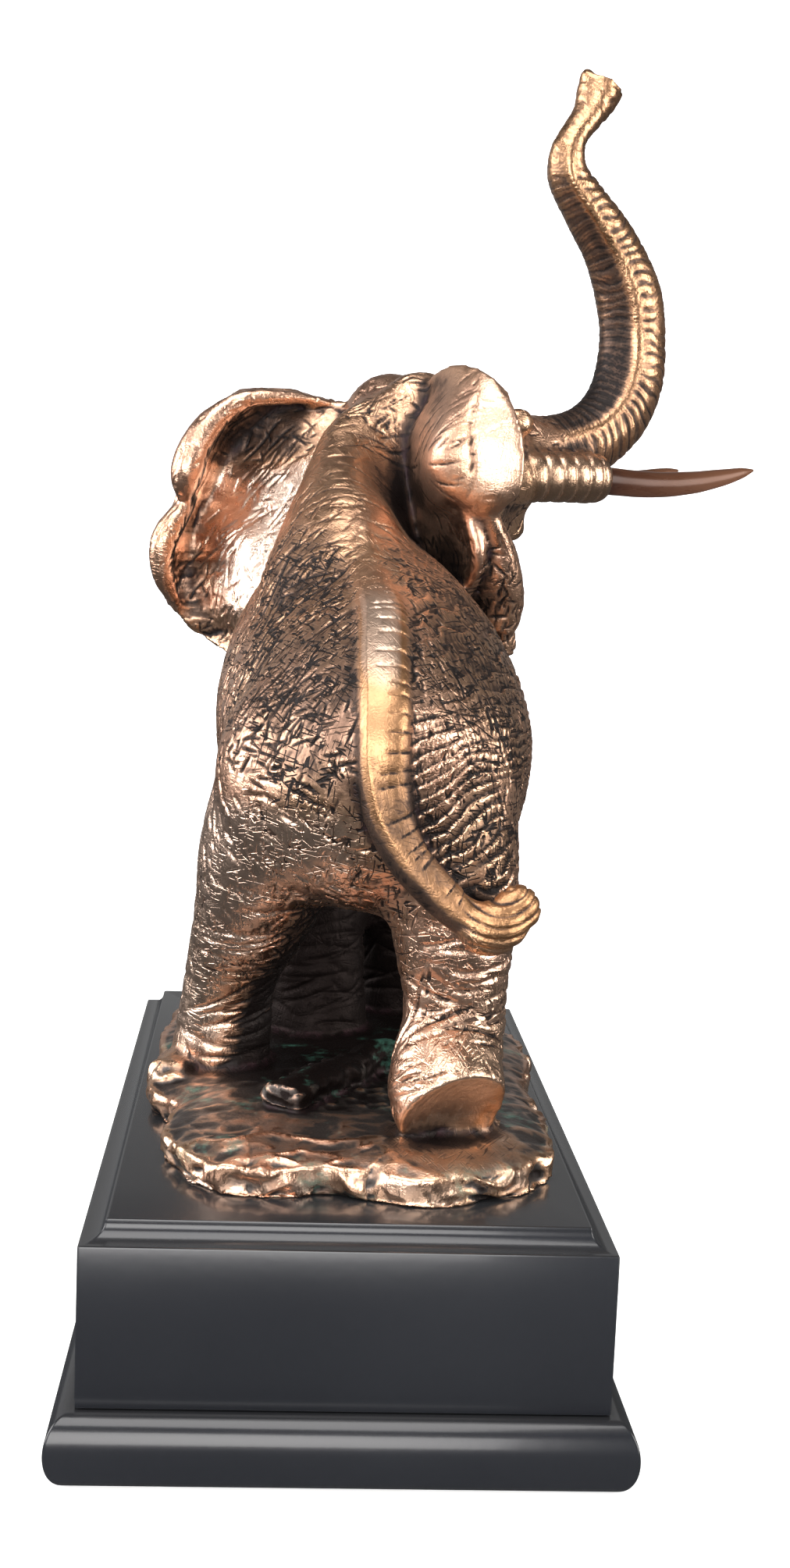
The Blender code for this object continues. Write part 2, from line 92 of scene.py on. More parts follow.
def bridge(bm, rings):
    loops = [[bm.verts.new(point) for point in ring] for ring in rings]
    count = len(loops[0])
    for low, high in zip(loops, loops[1:]):
        for i in range(count):
            j = (i + 1) % count
            bm.faces.new((low[i], low[j], high[j], high[i]))
    bm.faces.new(reversed(loops[0]))
    bm.faces.new(loops[-1])
    bmesh.ops.recalc_face_normals(bm, faces=bm.faces)


def merge(bm, part):
    mesh = bpy.data.meshes.new("shape")
    part.to_mesh(mesh)
    part.free()
    bm.from_mesh(mesh)
    bpy.data.meshes.remove(mesh)


def loft(bm, stations, hint, power=2.0, steps=5, sides=40):
    over, under = power if isinstance(power, tuple) else (power, power)
    rows = spline(stations, steps)
    centres = [Vector(row[:3]) for row in rows]
    rings = []
    for i, (centre, row) in enumerate(zip(centres, rows)):
        ahead = centres[min(i + 1, len(rows) - 1)] - centres[max(i - 1, 0)]
        side = hint.cross(ahead).normalized()
        deep = ahead.cross(side).normalized()
        ring = []
        for k in range(sides):
            angle = 2 * math.pi * k / sides
            u, v = superellipse(angle, over if math.cos(angle) > 0 else under)
            ring.append(centre + deep * (u * row[3]) + side * (v * row[4]))
        rings.append(ring)
    part = bmesh.new()
    bridge(part, rings)
    merge(bm, part)


def ball(bm, centre, radii, turn=0.0, tilt=0.0):
    part = bmesh.new()
    bmesh.ops.create_uvsphere(part, u_segments=32, v_segments=20, radius=1.0)
    place = (
        Matrix.Translation(Vector(centre))
        @ Matrix.Rotation(math.radians(turn), 4, "Z")
        @ Matrix.Rotation(math.radians(tilt), 4, "Y")
        @ Matrix.Diagonal((*radii, 1.0))
    )
    bmesh.ops.transform(part, matrix=place, verts=part.verts)
    merge(bm, part)


def evaluated(made):
    graph = bpy.context.evaluated_depsgraph_get()
    mesh = bpy.data.meshes.new_from_object(made.evaluated_get(graph))
    bpy.data.objects.remove(made)
    return mesh


def fused(bm, voxel, smoothing):  # one closed skin of overlapping shapes
    mesh = bpy.data.meshes.new("fused")
    bm.to_mesh(mesh)
    bm.free()
    made = bpy.data.objects.new("fused", mesh)
    bpy.context.scene.collection.objects.link(made)
    skin = made.modifiers.new("fuse", "REMESH")
    skin.mode = "VOXEL"
    skin.voxel_size = voxel
    soften = made.modifiers.new("soften", "SMOOTH")
    soften.factor = 0.5
    soften.iterations = smoothing
    return evaluated(made)


head = {
    "centre": Vector((20, 60, 155.5)),
    "turn": math.radians(62),
    "middle": [  # forward, up, radii, tilt
        (0, 0, (27, 19, 23), 0),  # skull
        (20, 4, (20, 15, 15), -14),  # root of the trunk
        (8, -12, (17, 13, 11), 10),  # jaw
        (26, -10, (9, 5.5, 6), 30),  # lower lip
    ],
    "pairs": [  # forward, out to each side, up, radii, tilt
        (-7, 8, 16, (15, 10, 14), 0),  # dome
        (13, 12, 13, (12, 6.5, 9), 10),  # brow
        (4, 14, 0, (14, 9, 15), 0),  # cheek
    ],
}
headForward = Vector((math.sin(head["turn"]), math.cos(head["turn"]), 0))
headLeft = Vector((-math.cos(head["turn"]), math.sin(head["turn"]), 0))
ground = 9.5


def inHead(forward, left, high):
    return head["centre"] + headForward * forward + headLeft * left + up * high


def headBall(bm, forward, left, high, radii, tilt=0.0):
    ball(bm, inHead(forward, left, high), radii, 90 - math.degrees(head["turn"]), tilt)


torso = {
    "barrel": [  # x, y, z, half height, half width
        (4, -72, 81.5, 13, 12),
        (4, -65, 83, 24, 23),
        (5, -50, 86, 32, 31.5),
        (5.5, -30, 90, 37, 36.5),
        (5, -8, 94, 42, 38.5),
        (2.5, 15, 98.5, 44, 37.5),
        (-1, 35, 102.5, 43, 33),
        (-2, 50, 107.5, 33, 27),
        (-2, 59, 111.5, 14, 13),
    ],
    "neck": [
        (-2, -6, 112, 26, 23),
        (-3, 14, 119.5, 32, 23),
        (-2, 32, 130, 32, 19),
        (3, 46, 143, 29, 15.5),
        (12, 55, 154, 27, 15.5),
        (20, 60, 159, 22, 17),
    ],
    "muscles": [  # centre, radii, tilt
        ((18, -45, 85.5), (20, 22, 27), 8),
        ((-12, -42, 83.5), (21, 22, 27), -8),
        ((22, 24, 95), (15, 20, 32), -6),
        ((-20, 22, 95), (14, 20, 32), 6),
        ((3, 34, 62), (12, 13, 28), 0),
    ],
}


def addTorso(bm):
    loft(bm, torso["barrel"], up, power=(1.75, 2.2))
    loft(bm, torso["neck"], up, power=(1.8, 2.2))
    for centre, radii, tilt in torso["muscles"]:
        ball(bm, centre, radii, 0, tilt)


legs = {
    "hindRight": [  # x, y, z, half length, half width
        (19, -43, 87.5, 25, 17),
        (22, -50, 67.5, 22, 15.8),
        (23, -54, 50.5, 16, 14),
        (23.6, -54.5, 39, 13, 12.2),
        (23.4, -57, 31, 12.4, 12.2),
        (22.8, -61, 26.5, 11, 11),
    ],
    "hindLeft": [
        (-13, -34, 87.5, 25, 18.5),
        (-19.2, -30, 68.5, 23, 17),
        (-22.5, -22, 51.5, 18, 15.2),
        (-27.5, -13, 35.5, 13.5, 12),
        (-29.5, -9, 21.5, 12.5, 12),
        (-30.5, -8, ground - 2, 13.6, 13),
    ],
    "foreLeft": [
        (-16, 32, 92.5, 20, 17),
        (-14, 31, 69.5, 16, 14.5),
        (-9.5, 28, 47.5, 14, 14),
        (-7, 26.5, 29.5, 13.2, 13.8),
        (-6.5, 26, 18.5, 13, 13.8),
        (-6.5, 26, ground - 3, 14.6, 15),
    ],
    "foreRight": [
        (16, 34, 92.5, 20, 17),
        (16, 38, 69.5, 16, 14.5),
        (17, 42, 47.5, 13.5, 14),
        (17.5, 47, 29.5, 12.6, 13.5),
        (17.5, 50, 18.5, 12.6, 13.5),
        (17.5, 51, ground - 3, 14, 14.6),
    ],
}


raisedFoot = [  # the heel is up, so its sole faces back
    (23.2, -57, 29.5, 12.2, 12),
    (21.9, -62.5, 24, 12.6, 12.8),
    (21.6, -67.4, 19.4, 12.9, 13.2),
    (23.0, -71.2, 16.2, 12.4, 12.8),
]


def soleFacing():
    ahead = Vector(raisedFoot[-1][:3]) - Vector(raisedFoot[-2][:3])
    return np.array(ahead.normalized())


def addRaisedFoot(bm):
    loft(bm, raisedFoot, Vector((0, 1, 0)))


def addLegs(bm):
    for stations in legs.values():
        loft(bm, stations, Vector((0, 1, 0)))
    ball(bm, (23, -60, ground + 4), (12.2, 9, 8))


def addSkull(bm):
    for forward, high, radii, tilt in head["middle"]:
        headBall(bm, forward, 0, high, radii, tilt)
    for side in (-1, 1):
        for forward, out, high, radii, tilt in head["pairs"]:
            headBall(bm, forward, side * out, high, radii, tilt)


tail = {
    "path": [  # x, y, z, half depth, half width, from the withers down to the tip
        (-2.5, 19, 151.5, 3.4, 4),
        (-1.6, 1, 143.2, 3.8, 4.8),
        (0.4, -10.4, 134.4, 4, 5.3),
        (3, -27.6, 127, 4.2, 5.7),
        (4.4, -43.4, 122, 4.2, 5.9),
        (4, -60.4, 112.6, 4.3, 6),
        (4.2, -68.8, 105.2, 4.3, 6),
        (4.2, -72.6, 97.7, 4.4, 6),
        (4.6, -73.6, 89.8, 4.4, 5.9),
        (6.4, -74, 80.6, 4.4, 5.4),
        (10.2, -74.8, 73.2, 4.3, 4.9),
        (15, -75.5, 67.8, 4.2, 4.6),
        (21, -76, 62.3, 4, 4.4),
        (26, -76, 59.4, 3.8, 4.2),
    ],
    "tuft": (31, -75.5, 60.5),
    "tuftForms": [  # centre, radii, turn, tilt
        ((29.5, -76.5, 58.8), (8.2, 5.2, 6.2), 16, -16),
        ((34.6, -74, 62.6), (5.4, 4.4, 5.8), 26, -40),
    ],
    "keel": -0.62,  # where the ridge runs, as a share of the half width
}


def addTail(bm):
    loft(bm, tail["path"], Vector((0, -0.6, 0.8)), power=2.4)
    for form in tail["tuftForms"]:
        ball(bm, *form)


trunk = {
    "path": [  # forward, up, half width, half depth
        (16, 6, 14, 15),
        (30, 8, 12, 13),
        (42, 10, 11, 11),
        (54, 14, 10.8, 10.6),
        (63.5, 22, 10.6, 10.8),
        (68.5, 33, 10.2, 11),
        (69, 45, 9.6, 10.6),
        (66.5, 57, 9.8, 10.2),
        (59.6, 69, 8.6, 8.9),
        (50.6, 79, 7.6, 7.4),
        (43.5, 87, 6.2, 6.2),
        (42.3, 93.4, 5.6, 5.4),
        (44.4, 99, 5, 4.2),
        (48.6, 104.4, 5.2, 4.8),
        (51.2, 109.2, 6.2, 6.4),
        (53.3, 114.0, 6.7, 7.2),
    ],
    "cup": 1.8,  # depth of the hollow in the tip
    "finger": (48.0, 115.2),  # the point at the tip of its upper lip
    "sheathSpread": 14.0,
    "sheathEnd": 51.0,
    "ridge": -0.45,  # where the smooth ridge runs, as a share of the half width
}


def sheathPath(side):
    spread = trunk["sheathSpread"]
    return [
        (*inHead(16, side * 10, 0), 7, 7),
        (*inHead(26, side * 12.5, 2.5), 7.2, 7.2),
        (*inHead(38, side * spread, 3), 7.2, 7.2),
        (*inHead(47, side * spread, 3.2), 7.2, 7.2),
        (*inHead(trunk["sheathEnd"], side * spread, 3.4), 5.4, 5.4),
    ]


def trunkPath():
    return [(*inHead(a, 0, c), wide, deep) for a, c, wide, deep in trunk["path"]]


def addTrunk(bm):
    for side in (-1, 1):
        headBall(bm, 18.5, side * 16.5, 17, (5, 3.6, 4))
        loft(bm, sheathPath(side), up)
    loft(bm, trunkPath(), headLeft, power=1.75)
    forward, high = trunk["finger"]
    headBall(bm, forward, 0, high, (2.3, 2.6, 2.6))


ears = {
    "thickness": {"left": 3.4, "upper": 3.6, "lower": 3.4, "lobe": 3.2, "under": 3.2},
    "bead": 2.2,  # radius of the rolled edge below the right ear's fold
    "waves": 5,  # folds along the free edge of the left ear
    "fold": 1.3,  # and their half height
    "furrows": 9.5,  # from the top of an ear to its lobe
    "left": [  # root, dish, edge, from the top of the ear to its lobe
        [(6, 64, 175.5), (-2, 64, 176.5), (-12, 64, 177.5), (-18, 62, 178.5)],
        [(2, 60, 169.5), (-12, 63, 169.5), (-25, 68, 173), (-32, 60, 178)],
        [(-1, 54, 161.5), (-19, 61, 158.5), (-35, 69, 160.5), (-42.5, 57, 166)],
        [(-5, 48, 149.5), (-24, 56, 146), (-40, 68, 148), (-48, 57, 149)],
        [(-9, 44, 137.5), (-28, 52, 134), (-43.5, 65, 135), (-53.5, 57, 134.5)],
        [(-13, 40, 125.5), (-28, 49, 123), (-41.5, 62, 121), (-50.5, 60, 119.5)],
        [(-17, 38, 115.5), (-26, 47, 114), (-33.5, 57, 111.5), (-40.5, 61, 110.5)],
        [(-19, 36, 109.5), (-23, 46, 107.5), (-27, 52, 106.5), (-31, 56, 104.5)],
    ],
    "upper": [  # the fold of the right ear that faces back, from the head outwards
        [(19.5, 46, 180), (20.5, 40, 183), (24.9, 29, 185), (31, 20, 183), (36, 14, 178.5)],
        [(18.5, 46, 173.5), (21, 33, 177), (26.6, 19, 178), (32, 14, 177), (38.5, 11, 173)],
        [(13.7, 48, 166), (17.5, 31, 169), (23.2, 14, 170), (32, 10.5, 169.5), (40.7, 9, 166)],
        [(14.2, 48, 156), (17, 30, 158), (19.8, 13.5, 161), (31, 9, 159.5), (41, 8, 157.5)],
        [(14.6, 48, 148), (18.5, 34, 149), (22, 15.5, 152.5), (32, 9, 152), (40, 9, 152.5)],
        [(13, 49, 145), (19.5, 36, 146.5), (25, 18, 149), (31, 12.5, 147.5), (34, 14, 147.5)],
    ],
    "lower": [
        [(12, 50, 153), (17.5, 34, 153), (22, 24, 152.5), (26, 15, 150.5)],
        [(10, 50, 144), (18, 36, 145), (23.5, 26, 145.5), (28.5, 14, 145)],
        [(11, 50, 136), (20.5, 37, 137), (26, 28, 137.5), (31, 14, 137)],
        [(12, 50, 129), (23.5, 38, 129.5), (27.5, 29, 130), (30.2, 19, 130.5)],
        [(14, 50, 121), (27, 39, 122.5), (29.3, 33, 123.5), (29.8, 26, 125)],
    ],
    "lobe": [
        [(29, 16, 150), (31, 13.5, 149.5), (33.4, 13, 148.5), (35, 20, 147)],
        [(30, 20, 143), (33, 15, 143.5), (36.2, 14, 143.2), (38, 24, 142)],
        [(31, 22, 137), (35, 17, 138), (39.2, 17, 138.3), (41, 28, 137.5)],
        [(31.5, 26, 130), (36, 19, 130.5), (41.3, 20, 131), (43.2, 32, 130)],
        [(31, 36, 123.5), (35, 26, 123), (42.5, 24, 124), (44, 35, 123)],
        [(31, 38, 120.5), (35.2, 28, 118.4), (40, 26, 116), (43, 32, 117)],
    ],
    "under": [
        [(35, 36, 119), (39.5, 31, 118.5), (43, 35, 118.5)],
        [(36.5, 40, 114.5), (40.3, 33, 113.8), (43.8, 37, 113.8)],
        [(38, 42, 111), (40.6, 35, 109.6), (43.6, 38, 109.6)],
    ],
    "flaps": [  # x, y, z, radius of the folds that roll over the rim of the left ear
        [
            (-7.7, 63, 175.8, 1.3),
            (-15.5, 61, 176.8, 1.9),
            (-21.9, 59, 176.6, 2.3),
            (-29.8, 57, 175.8, 2.7),
            (-36.2, 56, 172.4, 3.3),
            (-40.4, 55, 167.8, 4),
            (-43.4, 54, 162.8, 4.5),
            (-45.2, 53, 157.8, 4.8),
            (-46, 53, 153, 4.3),
            (-46.4, 54, 148.6, 2.4),
        ],
        [
            (-43.5, 58, 150, 1.4),
            (-46, 55.5, 146, 2.7),
            (-49, 53.5, 141.6, 3.6),
            (-51.4, 52.5, 136.8, 3.9),
            (-52, 52.5, 132, 3.7),
            (-51.4, 53.5, 127, 3.1),
            (-49.6, 55.5, 122.6, 2.2),
            (-47.2, 57.5, 118.5, 1.3),
        ],
    ],
}


def earGrid(rails, steps, waves=0):
    rows = [spline(rail, steps) for rail in rails]
    grid = [spline(column, steps) for column in zip(*rows)]
    for i, column in enumerate(grid):
        for k, point in enumerate(column):
            swell = math.sin(2 * math.pi * waves * k / (len(column) - 1))
            point.y += ears["fold"] * swell * i / (len(grid) - 1)
    return grid


def addSheet(bm, name, waves=0):
    flat = bmesh.new()
    verts = [[flat.verts.new(p) for p in column] for column in earGrid(ears[name], 9, waves)]
    for left, right in zip(verts, verts[1:]):
        for i in range(len(left) - 1):
            flat.faces.new((left[i], left[i + 1], right[i + 1], right[i]))
    mesh = bpy.data.meshes.new("sheet")
    flat.to_mesh(mesh)
    flat.free()
    plate = bpy.data.objects.new("sheet", mesh)
    bpy.context.scene.collection.objects.link(plate)
    skin = plate.modifiers.new("thickness", "SOLIDIFY")
    skin.thickness = ears["thickness"][name]
    skin.offset = 0.0
    solid = evaluated(plate)
    bm.from_mesh(solid)
    bpy.data.meshes.remove(solid)


def addRolledEdge(bm, edge, radius):
    last = len(edge) - 1
    rows = [
        (*point, *[radius * (0.55 + 0.45 * math.sin(math.pi * i / last))] * 2)
        for i, point in enumerate(edge)
    ]
    loft(bm, rows, Vector((0, 1, 0)), steps=8, sides=16)


def addEars(bm):
    addSheet(bm, "left", ears["waves"])
    for flap in ears["flaps"]:
        loft(bm, [(*row, row[3]) for row in flap], Vector((0, 1, 0)), sides=24)
    addSheet(bm, "upper")
    addSheet(bm, "lower")
    addRolledEdge(bm, [rail[-1] for rail in ears["lower"]], ears["bead"])
    addSheet(bm, "lobe")
    addSheet(bm, "under")


rock = {
    "middle": Vector((0, -5, 0)),
    "outline": [
        (0, -80),
        (14, -86.5),
        (30, -84),
        (42, -70),
        (46, -48),
        (45, -20),
        (47, 10),
        (44, 42),
        (34, 68),
        (8, 77),
        (-22, 74),
        (-40, 58),
        (-45, 28),
        (-44, -2),
        (-44, -22),
        (-39, -40),
        (-40, -58),
        (-32, -75),
        (-18, -84),
    ],
    "edge": [  # height, how far it stands out
        (-2.0, -1.0),
        (1.0, 0.0),
        (3.4, 1.6),
        (5.6, 1.0),
        (7.2, -2.0),
        (8.6, -8.0),
        (9.6, -22.0),
    ],
    "branch": [
        (-15, -53, ground + 2.2, 4.4, 4.6),
        (-8, -42.5, ground + 2.6, 4.4, 4.4),
        (1, -28, ground + 2.4, 4.2, 4.2),
        (12, -14, ground + 1.5, 3.8, 3.8),
    ],
    "snag": [
        (3, -22, ground + 2, 2.5, 3.5),
        (8, -19, ground + 4.5, 3.6, 4.4),
        (14, -16, ground + 3.5, 3.2, 4),
        (18, -13, ground + 1, 2, 3),
    ],
    "boulder": ((-41, -16, 7), (6, 10, 5.5)),
}


def addRock(bm):
    corners = rock["outline"]
    lead, steps = 3, 5  # corners repeated at each end, so that the curve closes smoothly
    closed = [*corners[-lead:], *corners, *corners[:lead]]
    outline = spline([(x, y, 0) for x, y in closed], steps)
    outline = outline[lead * steps : (lead + len(corners)) * steps]
    rings = []
    for height, outset in rock["edge"]:
        ring = []
        for k, point in enumerate(outline):
            angle = 2 * math.pi * k / len(outline)
            uneven = 0.9 * math.sin(7 * angle + 0.6) + 0.7 * math.sin(12 * angle + 2)
            outward = (point - rock["middle"]).normalized()
            ring.append(point + outward * (outset + uneven) + up * height)
        rings.append(ring)
    part = bmesh.new()
    bridge(part, rings)
    merge(bm, part)
    ball(bm, *rock["boulder"], 8)
    loft(bm, rock["branch"], up)
    loft(bm, rock["snag"], up)


casting = {
    "coreVoxel": 1.8,
    "coreSmoothing": 18,
    "voxel": 0.95,
    "smoothing": 6,
    "triangles": 600000,  # in all; it is shown in a few parts
    "parts": ("rockBase", "elephantBody", "elephantLegs", "elephantHead", "elephantTrunk"),
    "legTop": 72,
    "headLow": 96,
    "headReach": 33,
    "trunkLow": 110,
    "trunkStart": 82,
    "flatBelow": 0.6,  # the underside under this height stays as it is
}


def buildForms():
    bm = bmesh.new()
    addTorso(bm)
    addLegs(bm)
    addSkull(bm)
    core = fused(bm, casting["coreVoxel"], casting["coreSmoothing"])
    bm = bmesh.new()
    bm.from_mesh(core)
    bpy.data.meshes.remove(core)
    addRaisedFoot(bm)
    addTail(bm)
    addTrunk(bm)
    addEars(bm)
    addRock(bm)
    return fused(bm, casting["voxel"], casting["smoothing"])


def readPoints(mesh):
    points = np.empty(len(mesh.vertices) * 3)
    mesh.vertices.foreach_get("co", points)
    normals = np.empty(len(mesh.vertices) * 3)
    mesh.vertices.foreach_get("normal", normals)
    return points.reshape(-1, 3), normals.reshape(-1, 3)


def alongPath(points, rows, hint, steps=5):
    # for each point: distance along the path, its place across it (-1 to 1), share of the radius
    dense = np.array([tuple(row) for row in spline(rows, steps)])
    start, step = dense[:-1, :3], np.diff(dense[:, :3], axis=0)
    length = np.linalg.norm(step, axis=1)
    reach = np.concatenate([[0], np.cumsum(length)])
    best = np.full(len(points), 1e9)
    along, across, radius = np.zeros(len(points)), np.zeros(len(points)), np.ones(len(points))
    for i in range(len(step)):
        side = np.cross(hint, step[i])
        side /= np.linalg.norm(side)
        away = points - start[i]
        t = clamp(away @ step[i] / length[i] ** 2)
        away -= t[:, None] * step[i]
        gap = np.sqrt(np.einsum("ij,ij->i", away, away))
        near = gap < best
        best[near] = gap[near]
        along[near] = reach[i] + t[near] * length[i]
        across[near] = (away @ side)[near] / dense[i, 4]
        radius[near] = dense[i, 3:5].mean()
    return along, across, best / radius


def hashed(cells, seed):
    # a number from 0 to 1 for each whole-number cell
    h = (cells[..., 0] * 73856093) ^ (cells[..., 1] * 19349663) ^ (cells[..., 2] * 83492791)
    h = (h ^ (seed * 2654435) ^ (h >> 13)) * 1274126177
    return ((h ^ (h >> 16)) & 0xFFFF) / 65535


def valueNoise(points, scale, seed):
    # smooth noise between -1 and 1
    p = points / scale + seed * 17.31
    cell = np.floor(p).astype(np.int64)
    t = p - cell
    t = t * t * t * (t * (t * 6 - 15) + 10)
    total = np.zeros(len(points))
    for corner in range(8):
        step = np.array([corner & 1, corner >> 1 & 1, corner >> 2 & 1])
        w = np.where(step, t, 1 - t)
        total += w[:, 0] * w[:, 1] * w[:, 2] * (hashed(cell + step, seed) * 2 - 1)
    return total


def fractal(points, scale, seed, octaves=3):
    total = np.zeros(len(points))
    size = 1.0
    for i in range(octaves):
        total += size * valueNoise(points, scale / 2**i, seed + 7 * i)
        size *= 0.5
    return total / (2 - 2 * size)


def facets(points, scale, seed):
    # flat chips at random tilts: height of the chip, and closeness to its edge
    p = points / scale + seed * 3.7
    cell = np.floor(p).astype(np.int64)
    first, second = np.full(len(p), 9.0), np.full(len(p), 9.0)
    height = np.zeros(len(p))
    for corner in range(27):
        here = cell + np.array([corner // 9 - 1, corner // 3 % 3 - 1, corner % 3 - 1])
        jitter = np.stack([hashed(here, seed + k) for k in range(3)], axis=1)
        away = p - here - jitter
        gap = np.sqrt(np.einsum("ij,ij->i", away, away))
        tilt = (away * (jitter[:, ::-1] * 2 - 1)).sum(axis=1)
        near = gap < first
        second = np.where(near, first, np.minimum(second, gap))
        height = np.where(near, tilt, height)
        first = np.where(near, gap, first)
    return height, 1 - clamp((second - first) * 3)


def creases(points, scale, seed, sharpness=7):
    # a net of thin lines, 1 in the line
    return (1 - np.abs(valueNoise(points, scale, seed))) ** sharpness


def grooves(phase, sharpness=3.0):
    # 0 on the swell between two rings, 1 at the bottom of a groove
    return (0.5 + 0.5 * np.cos(2 * math.pi * phase)) ** sharpness


def overlaps(phase):
    # folds that lie over each other: a slow rise, then a sharp drop
    t = phase - np.floor(phase)
    return t**1.6 * (1 - ramp(t, 0.86, 1.0))


def shelter(tree, points, normals, reach=42.0):
    # how closed in each point is: the share of short rays that meet the casting again; the bronze is painted
    # darker by it, painted shade as well as patina
    rays = []
    count = 18
    for k in range(count):
        high = 1 - 2 * (k + 0.5) / count
        turn = k * 2.399963  # the golden angle, which spreads them evenly
        flat = math.sqrt(1 - high * high)
        rays.append(Vector((flat * math.cos(turn), flat * math.sin(turn), high)))
    picked = range(0, len(points), 6)  # the others take the value of the nearest of these
    known = KDTree(len(picked))
    closed = []
    for n, i in enumerate(picked):
        normal = Vector(normals[i])
        start = Vector(points[i]) + normal * 0.8
        total = hits = 0.0
        for ray in rays:
            facing = ray.dot(normal)
            way = ray if facing > 0 else -ray
            total += abs(facing)
            if tree.ray_cast(start, way, reach)[0] is not None:
                hits += abs(facing)
        closed.append(hits / total)
        known.insert(start, n)
    known.balance()
    return np.array([closed[known.find(point)[1]] for point in points])


def edgesOf(mesh):
    ends = np.empty(len(mesh.edges) * 2, dtype=np.int64)
    mesh.edges.foreach_get("vertices", ends)
    a, b = ends[0::2], ends[1::2]
    count = len(mesh.vertices)
    share = np.bincount(a, minlength=count) + np.bincount(b, minlength=count)
    return a, b, np.maximum(share, 1)


def blurred(values, edges, rounds):
    # averages each point with its neighbours, a number of times
    a, b, share = edges
    for i in range(rounds):
        total = np.bincount(a, values[b], len(values)) + np.bincount(b, values[a], len(values))
        values = 0.5 * values + 0.5 * total / share
    return values


def markTail(zones, points):
    along, across, share = alongPath(points, tail["path"], (0, -0.6, 0.8))
    band = (1 - ramp(share, 1.05, 1.3)) * ramp(along, 38, 74)
    tuftGap = np.linalg.norm((points - tail["tuft"]) / (10, 8, 10), axis=1)
    tuft = (1 - ramp(tuftGap, 0.9, 1.15)) * ramp(along, 141, 147)
    zones["tailAlong"], zones["tailAcross"], zones["tuft"] = along, across, tuft
    zones["spine"] = (1 - ramp(share, 1.0, 2.0)) * ramp(along, 1, 30) * (1 - ramp(along, 60, 80))
    zones["band"] = np.maximum(band, tuft) * (points[:, 2] > 48)


def markTrunk(zones, points):
    along, across, share = alongPath(points, trunkPath(), tuple(headLeft))
    zones["trunkAlong"], zones["trunkAcross"] = along, across
    onTrunk = (1 - ramp(share, 1.15, 1.4)) * ramp(along, 16, 30)
    onSheath, sheathAlong = np.zeros(len(points)), np.zeros(len(points))
    for side in (-1, 1):
        along, across, share = alongPath(points, sheathPath(side), (0, 0, 1))
        here = (1 - ramp(share, 1.05, 1.3)) * ramp(along, 6, 12)
        sheathAlong = np.where(here > onSheath, along, sheathAlong)
        onSheath = np.maximum(onSheath, here)
    zones["sheathAlong"], zones["onSheath"] = sheathAlong, onSheath
    zones["onTrunk"] = onTrunk * (1 - onSheath)


def markLegsAndRock(zones, points):
    x, y, z = points.T
    onLeg = np.zeros(len(points))
    for stations in [*legs.values(), raisedFoot]:
        share = alongPath(points, stations, (0, 1, 0), 3)[2]
        onLeg = np.maximum(onLeg, 1 - ramp(share, 1.2, 1.45))
    stone = 1 - ramp(z, ground + 0.6, ground + 2.0)
    stone *= 1 - onLeg * ramp(z, ground - 4, ground - 1)
    for extra in (rock["branch"], rock["snag"]):
        share = alongPath(points, extra, (0, 0, 1), 3)[2]
        stone = np.maximum(stone, (1 - ramp(share, 1.1, 1.4)) * (1 - onLeg))
    boulder = np.linalg.norm((points - rock["boulder"][0]) / rock["boulder"][1], axis=1)
    stone = np.maximum(stone, (1 - ramp(boulder, 1.0, 1.25)) * (1 - onLeg))
    zones["stone"] = stone
    zones["onLeg"] = onLeg * (1 - ramp(z, 50, 72)) * (1 - stone)
    soleGap = (points - raisedFoot[-1][:3]) @ soleFacing()
    zones["sole"] = ramp(soleGap, -1.5, 0.3) * (x > 6) * (y < -58) * (z < 36) * (1 - stone)
    zones["sole"] *= ramp(z, ground + 0.5, ground + 2.5)


def markEars(zones, points):
    places, shares = [], []
    for name in ("left", "upper", "lower", "lobe", "under"):
        grid = earGrid(ears[name], 6, ears["waves"] if name == "left" else 0)
        for i, column in enumerate(grid):
            for k, point in enumerate(column):
                places.append(point)
                shares.append((i / (len(grid) - 1), k / (len(column) - 1)))
    tree = KDTree(len(places))
    for i, point in enumerate(places):
        tree.insert(point, i)
    tree.balance()
    onEar, out, around = (np.zeros(len(points)) for k in range(3))
    for i in np.where((points[:, 2] > 98) & (points[:, 1] > -5))[0]:
        found, index, gap = tree.find(points[i])
        if gap < 5.5:
            onEar[i] = 1 - min(max((gap - 3.2) / 2.3, 0), 1)
            out[i], around[i] = shares[index]
    zones["onEar"], zones["earOut"], zones["earRound"] = onEar, out, around


def zonesOf(mesh):
    # where each part of the elephant lies on the fused surface, as shares from 0 to 1
    points, normals = readPoints(mesh)
    zones = {}
    for mark in (markTail, markTrunk, markLegsAndRock, markEars):
        mark(zones, points)
    tree = BVHTree.FromPolygons([tuple(p) for p in points], [p.vertices for p in mesh.polygons])
    shade = blurred(shelter(tree, points, normals), edgesOf(mesh), 12)
    # painted shade: darker where sheltered, with less of it on the ears
    zones["shade"] = shade * (1 - zones["onEar"] * np.where(points[:, 0] < 0, 0.85, 0.45))
    return zones, tree


